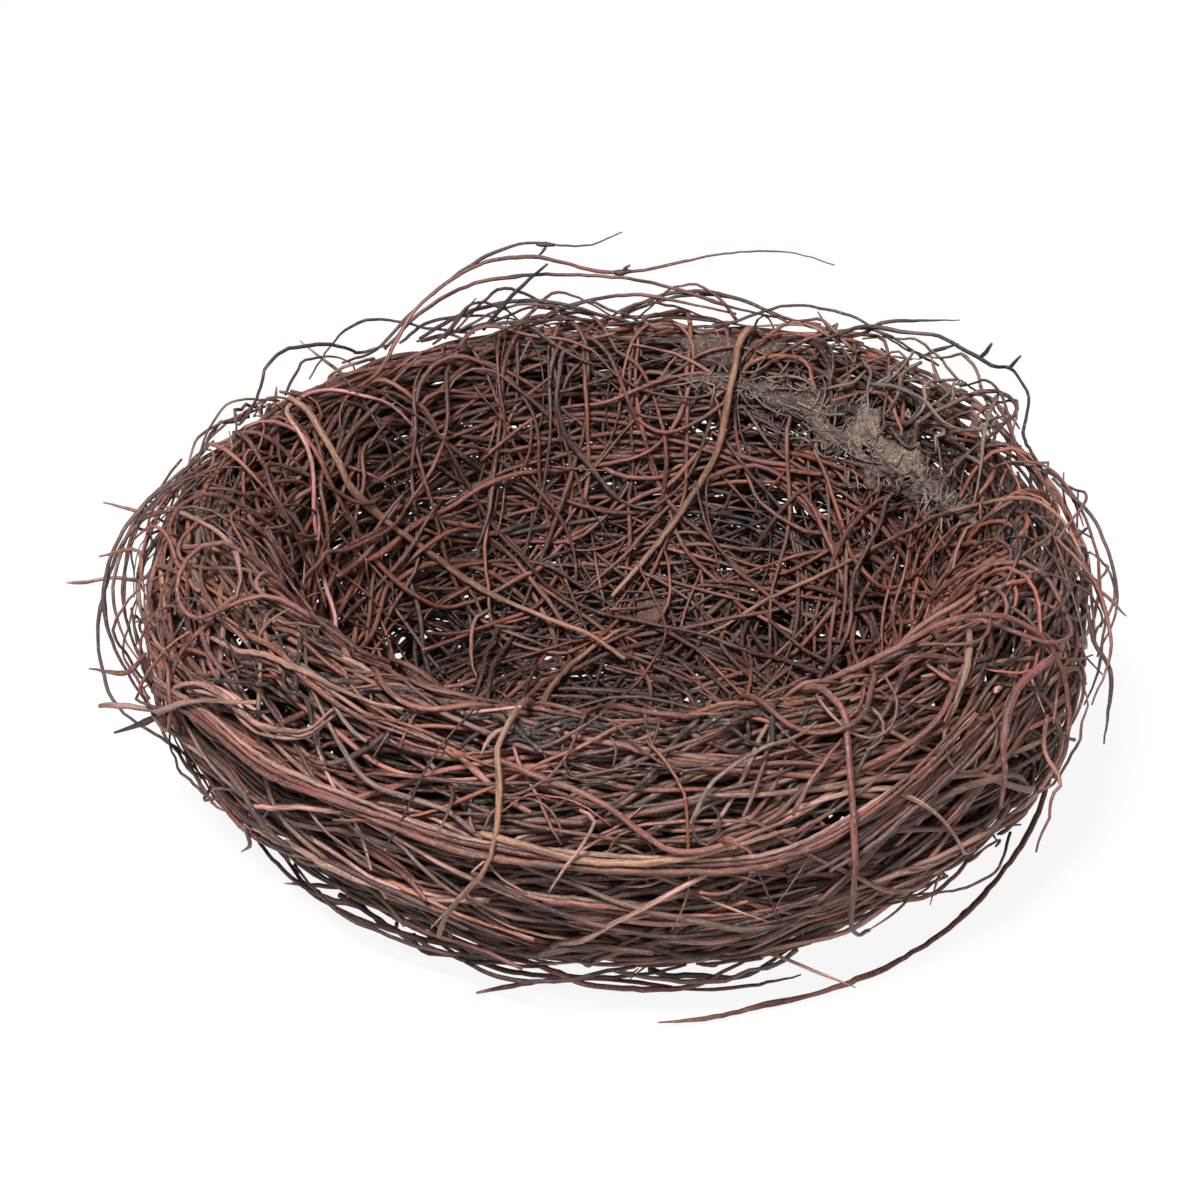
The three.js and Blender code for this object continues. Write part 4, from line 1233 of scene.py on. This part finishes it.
    @staticmethod
    def curl(rng, colours, radii):
        """A tip that curls on the wall, such as a tendril dries to."""
        azimuth, station = rng.uniform(0, 360), rng.uniform(0.1, 1.15)
        size, turns, way = rng.uniform(1.6, 5), rng.uniform(0.45, 1.1), rng.choice([-1, 1])
        begun, lift, grown = rng.uniform(0, FULL_TURN), rng.uniform(-1.0, 0.8), rng.uniform(1.2, 2.4)
        wide = 1 / math.radians(FORM.skin(station, 0)[0])
        route = []
        for share in np.linspace(0, 1, 4 + round(8 * turns)):
            angle, reach = begun + way * turns * FULL_TURN * share, size * (1 + (grown - 1) * share**2)
            route.append(on(azimuth + wide * reach * math.cos(angle),
                            station + reach * math.sin(angle) / FORM.part_length(station),
                            lift + 0.8 * share))
        stem = laid_stem(rng, "side_twigs", rng.uniform(*radii),
                         bark_colour(rng, colours, CURLED), route, 0.5, 0.8)
        return stem._replace(held=False)

    @staticmethod
    def crusted(rng, colours, radius, azimuth, station, length):
        """Short rough stems whose bark is crusted over."""
        made = []
        for _ in range(CRUSTED_EACH):
            start = azimuth + rng.uniform(-4, 4)
            level = station + rng.uniform(-0.05, 0.05)
            slope = rng.normal(0, 0.03)
            steps = np.linspace(0, 1, 5)
            turn = np.degrees(length * rng.uniform(0.4, 1.0) / CREST_RADIUS) * rng.choice([-1, 1])
            route = [on(start + turn * t, level + slope * t * 4 + rng.normal(0, 0.012),
                        rng.uniform(-1.2, 0.6)) for t in steps]
            stem = laid_stem(rng, "crusted_stems", radius * rng.uniform(0.6, 1.15),
                             colours.umber, route)
            rough = stem.radius * (1 + np.abs(rng.normal(0, 0.24, len(stem.radius))))
            made.append(stem._replace(radius=rough, held=False))
        return made

    @staticmethod
    def bark_roots(rng, colours, radius):
        """Knotty grey twigs above the bark strip and the fibres that fray from it."""
        made = []
        for _ in range(LOOSE_GREY_TWIGS):
            start = np.array([rng.uniform(6, 46), rng.uniform(1.0, 1.22)])
            reach = np.array([rng.normal(0, 7), rng.normal(0, 0.11)])
            lift, swing = rng.uniform(0.4, 1.6), rng.uniform(0.5, 2.0)
            route = [on(*(start + reach * t + rng.normal(0, (0.7, 0.012))),
                        lift + swing * math.sin(3 * t)) for t in np.linspace(0, 1, 6)]
            made.append(NEST_OT_lay_stems.knotty(rng, colours, radius * rng.uniform(0.45, 0.8), route))
        for route in GREY_TWIGS:
            made.append(NEST_OT_lay_stems.knotty(rng, colours, 0.8 * radius, route))
        for count, radii, reaches, shades in FRAYS:
            for _ in range(count):
                azimuth, station, half = STRIP_SPINE[rng.integers(1, len(STRIP_SPINE) - 1)]
                start = np.array([azimuth + rng.uniform(-4, 4), station + rng.uniform(-1.2, 1.2) * half])
                reach = rng.normal(0, reaches)
                bend, lift = rng.normal(0, (0.8, 0.018)), rng.uniform(1.0, 1.8)
                route = [on(*(start + reach * t + bend * math.sin(3 * t)), lift + rng.normal(0, 0.15))
                         for t in np.linspace(0, 1, 4)]
                made.append(laid_stem(rng, "bark_fibres", rng.uniform(*radii),
                                      np.array(colours.bark) * rng.uniform(*shades), route))
        return made

    @staticmethod
    def knotty(rng, colours, radius, route):
        """A rough grey twig with swollen knots."""
        stem = laid_stem(rng, "grey_twigs", radius, np.array(colours.bark) * rng.uniform(0.6, 1.3), route)
        rough = 1 + np.abs(rng.normal(0, 0.22, len(stem.radius)))
        return stem._replace(radius=stem.radius * rough)


# The pieces of common bark: name, sides of each stem, slot, and the node that a piece stands for.
WOVEN_PIECES = (
    ("low_coils", 6, "russet_stems", "woven_wall"),
    ("high_coils", 6, "russet_stems"),
    ("crossing_stems", 6, "russet_stems"),
    ("packing_stems", 4, "umber_twigs"),
    ("rim_stems", 6, "russet_stems"),
    ("lining_stems", 5, "umber_twigs"),
    ("under_stems", 4, "umber_twigs"),
    ("cup_twigs", 5, "umber_twigs"),
    ("floor_twigs", 4, "umber_twigs", "floor_mat"),
    ("picked_stems", 8, "russet_stems"),
    ("loose_loops", 7, "umber_twigs"),
    ("foot_loops", 7, "umber_twigs"),
    ("side_twigs", 5, "russet_stems"),
    ("root_hairs", 4, "umber_twigs"),
    ("grey_twigs", 7, "grey_bark"),
    ("bark_fibres", 4, "grey_bark"),
)


class NEST_OT_weave_wall(bpy.types.Operator):
    """Makes the coiled stems of the wall and rim and the twigs that close the cup"""

    bl_idname = "nest.weave_wall"
    bl_label = "Weave the wall"

    def execute(self, context):
        stems, colours = part_settings()
        rng = np.random.default_rng(stems.seed + 1)
        bark = stem_bark(colours)
        WOVEN["packing_stems"] = [self.thinned(stem) for stem in WOVEN["packing_stems"]]
        for group, sides, slot, *nodes in WOVEN_PIECES:
            place(group, sweep(group, WOVEN[group], sides, rng), bark, slot, *nodes)
        crust = stem_bark(colours, "crusted_bark", crusted=True)
        place("crusted_stems", sweep("crusted_stems", WOVEN["crusted_stems"], 7, rng), crust, "umber_twigs")
        return {"FINISHED"}

    @staticmethod
    def thinned(stem):
        """A stem with every other ring, for where the wall hides it."""
        kept = np.unique(np.append(np.arange(0, len(stem.points), 2), len(stem.points) - 1))
        return stem._replace(points=stem.points[kept], radius=stem.radius[kept], colour=stem.colour[kept])


class NEST_OT_lay_binders(bpy.types.Operator):
    """Makes each binder, tendril and loose base stem as a piece of its own"""

    bl_idname = "nest.lay_binders"
    bl_label = "Lay the binders and tendrils"

    def execute(self, context):
        stems, colours = part_settings()
        rng = np.random.default_rng(stems.seed + 2)
        bark = bpy.data.materials["stem_bark"]
        for item in BINDERS + TENDRILS + BASE_STEMS:
            place(item.name, sweep(item.name, WOVEN[item.name], 10, rng), bark, item.slot, item.name)
        return {"FINISHED"}


# A thin torn sheet: its spine, its lift off the lining, the squares of its grid, how far its edges
# are torn, the height of its folds, and its holes, each a place along and across with a radius.
Plate = namedtuple("Plate", "spine lift grid tear relief holes")


def torn_plate(sheet, plate):
    """Adds to a mesh a thin sheet bent over the nest along its spine, with torn edges and folds."""
    columns, rows = plate.grid
    made = bmesh.ops.create_grid(sheet, x_segments=columns, y_segments=rows, size=0.5)["verts"]
    line = evenly(smooth_line(plate.spine), 0.25)
    share = np.linspace(0, 1, len(line))
    length = travelled(FORM.over(line[:, 0], line[:, 1], plate.lift))
    space = sheet.verts.layers.float_vector.get("strip_space")
    gone = []
    for vertex in made:
        u, v = vertex.co.x + 0.5, vertex.co.y * 2
        azimuth, station, half = (np.interp(u, share, line[:, k]) for k in range(3))
        along = np.interp(u, share, length)
        edge = 1 + plate.tear * noise.noise(Vector((along * 0.22, math.copysign(3, v), 0.5)))
        edge += 0.4 * plate.tear * noise.noise(Vector((along * 0.9, math.copysign(7, v), 2.5)))
        across = v * half * edge
        width = across * FORM.lengths[1]
        folds = noise.noise(Vector((along * 0.14, width * 0.3, 1.0)))
        lumps = noise.fractal(Vector((along * 0.36, width * 1.1, 4.0)), 0.8, 2.1, 5)
        curl = abs(v) ** 4 * noise.noise(Vector((along * 0.2, v, 9.0)))
        rise = plate.relief * (1.4 * folds + 0.9 * lumps + 0.8 * curl) - 0.9 * v * v
        # The rise goes to the strip's material, which paints shade into the low hollows.
        vertex[space] = Vector((along, width, rise))
        vertex.co = Vector(FORM.over(azimuth, station + across, plate.lift + rise)) * MM
        for centre_along, centre_width, reach in plate.holes:
            wobble = 1 + 0.6 * noise.noise(Vector((along, width, 0.0)))
            if math.hypot((along - centre_along) / 1.7, width - centre_width) < reach * wobble:
                gone.append(vertex)
                break
    bmesh.ops.delete(sheet, geom=gone, context="VERTS")


def plate_mesh(name, thick, *plates):
    """A mesh of torn plates, thick in millimetres."""
    sheet = bmesh.new()
    sheet.verts.layers.float_vector.new("strip_space")
    for plate in plates:
        torn_plate(sheet, plate)
    loose = [vertex for vertex in sheet.verts if not vertex.link_faces]
    bmesh.ops.delete(sheet, geom=loose, context="VERTS")
    bmesh.ops.recalc_face_normals(sheet, faces=sheet.faces)
    bmesh.ops.solidify(sheet, geom=sheet.faces[:], thickness=thick * MM)
    bmesh.ops.recalc_face_normals(sheet, faces=sheet.faces)
    mesh = bpy.data.meshes.new(name)
    sheet.to_mesh(mesh)
    sheet.free()
    mesh.shade_smooth()
    return mesh


class NEST_OT_caught_bits(bpy.types.Operator):
    """Makes the bark strip and the leaf chip that are caught in the lining"""

    bl_idname = "nest.caught_bits"
    bl_label = "Lay the bark and the leaf"

    def execute(self, context):
        _, colours = part_settings()
        holes = ((34, 0.6, 0.8), (26, -0.8, 0.7), (45, 1.0, 0.6))
        strip = Plate(STRIP_SPINE, 1.3, (260, 30), 0.8, 0.6, holes)
        patch = Plate(PATCH_SPINE, 0.5, (60, 22), 0.7, 0.5, ())
        mesh = plate_mesh("bark_strip", 0.5, strip, patch)
        place("bark_strip", mesh, strip_bark(colours), "grey_bark", "bark_strip")
        chip = Plate(CHIP_SPINE, 0.3, (40, 26), 0.5, 0.5, ())
        mesh = plate_mesh("leaf_chip", 0.3, chip)
        place("leaf_chip", mesh, leaf_skin(colours), "dry_leaf", "leaf_chip")
        return {"FINISHED"}


AIM = Vector((-1.2, 3.1, 30.1)) * MM  # the camera looks at this point
# Lamps: place, size in metres and share of the key lamp's power. They shine at the foot.
LAMPS = (
    ("key", (-0.18, -0.42, 0.76), 0.2, 1.0),
    ("fill", (0.3, -0.75, 0.45), 0.5, 0.2),
    ("back", (0.15, 0.8, 0.6), 0.6, 0.16),
)


class NEST_OT_stage(bpy.types.Operator):
    """Sets the floor, the lamps and the camera"""

    bl_idname = "nest.stage"
    bl_label = "Set the stage"

    def execute(self, context):
        scene = context.scene
        plan = scene.nest_stage
        scene.view_settings.view_transform = "Standard"
        scene.view_settings.look = "None"
        self.floor(plan)
        self.lamps(scene, plan)
        back = Vector((0, -math.cos(plan.eye_height), math.sin(plan.eye_height)))
        camera = bpy.data.cameras.new("camera")
        camera.lens = plan.lens
        camera.sensor_width = 36
        camera.clip_start = 0.01
        eye = bpy.data.objects.new("camera", camera)
        eye.location = AIM + back * plan.eye_distance
        eye.rotation_euler = (math.pi / 2 - plan.eye_height, 0, 0)
        scene.collection.objects.link(eye)
        scene.camera = eye
        return {"FINISHED"}

    @staticmethod
    def floor(plan):
        """A wide pale floor that gives off some light, so that only a faint shadow shows on it."""
        sheet = bmesh.new()
        bmesh.ops.create_grid(sheet, x_segments=1, y_segments=1, size=plan.floor_size / 2)
        mesh = bpy.data.meshes.new("floor")
        sheet.to_mesh(mesh)
        sheet.free()
        floor = bpy.data.objects.new("floor", mesh)
        bpy.context.scene.collection.objects.link(floor)
        recipe = Recipe("floor")
        surface = recipe.node("ShaderNodeBsdfPrincipled", {}, {
            "Base Color": tuple(plan.floor), "Roughness": 0.9, "Specular IOR Level": 0.0,
            "Emission Color": (1.0, 1.0, 1.0), "Emission Strength": plan.glow})
        recipe.node("ShaderNodeOutputMaterial", {}, {"Surface": surface})
        mesh.materials.append(recipe.material)

    @staticmethod
    def lamps(scene, plan):
        """Even light from all round and three soft lamps."""
        world = bpy.data.worlds.new("sky")
        world.use_nodes = True
        background = world.node_tree.nodes["Background"]
        background.inputs["Color"].default_value = (1, 1, 1, 1)
        background.inputs["Strength"].default_value = plan.sky
        scene.world = world
        for name, spot, size, power in LAMPS:
            lamp = bpy.data.lights.new(name, "AREA")
            lamp.size = size
            lamp.energy = power * plan.key
            piece = bpy.data.objects.new(name, lamp)
            piece.location = spot
            piece.rotation_euler = (-Vector(spot)).to_track_quat("-Z", "Y").to_euler()
            scene.collection.objects.link(piece)


class NEST_PT_panel(bpy.types.Panel):
    """The nest's sizes, colours and steps"""

    bl_idname = "NEST_PT_panel"
    bl_label = "Nest"
    bl_space_type = "VIEW_3D"
    bl_region_type = "UI"
    bl_category = "Nest"

    def draw(self, context):
        for group in (context.scene.nest_stems, context.scene.nest_colours, context.scene.nest_stage):
            column = self.layout.column(align=True)
            for name in group.__annotations__:
                column.prop(group, name)
        for operator in OPERATORS:
            self.layout.operator(operator.bl_idname)


OPERATORS = (NEST_OT_lay_stems, NEST_OT_weave_wall, NEST_OT_lay_binders, NEST_OT_caught_bits, NEST_OT_stage)
GROUPS = {"nest_stems": NestStems, "nest_colours": NestColours, "nest_stage": NestStage}


def register():
    for kind in (*GROUPS.values(), *OPERATORS, NEST_PT_panel):
        bpy.utils.register_class(kind)
    for name, kind in GROUPS.items():
        setattr(bpy.types.Scene, name, PointerProperty(type=kind))


def unregister():
    for name in GROUPS:
        delattr(bpy.types.Scene, name)
    for kind in reversed((*GROUPS.values(), *OPERATORS, NEST_PT_panel)):
        bpy.utils.unregister_class(kind)


def main():
    register()
    bpy.ops.nest.lay_stems()
    bpy.ops.nest.weave_wall()
    bpy.ops.nest.lay_binders()
    bpy.ops.nest.caught_bits()
    bpy.ops.nest.stage()


if __name__ == "__main__":
    main()
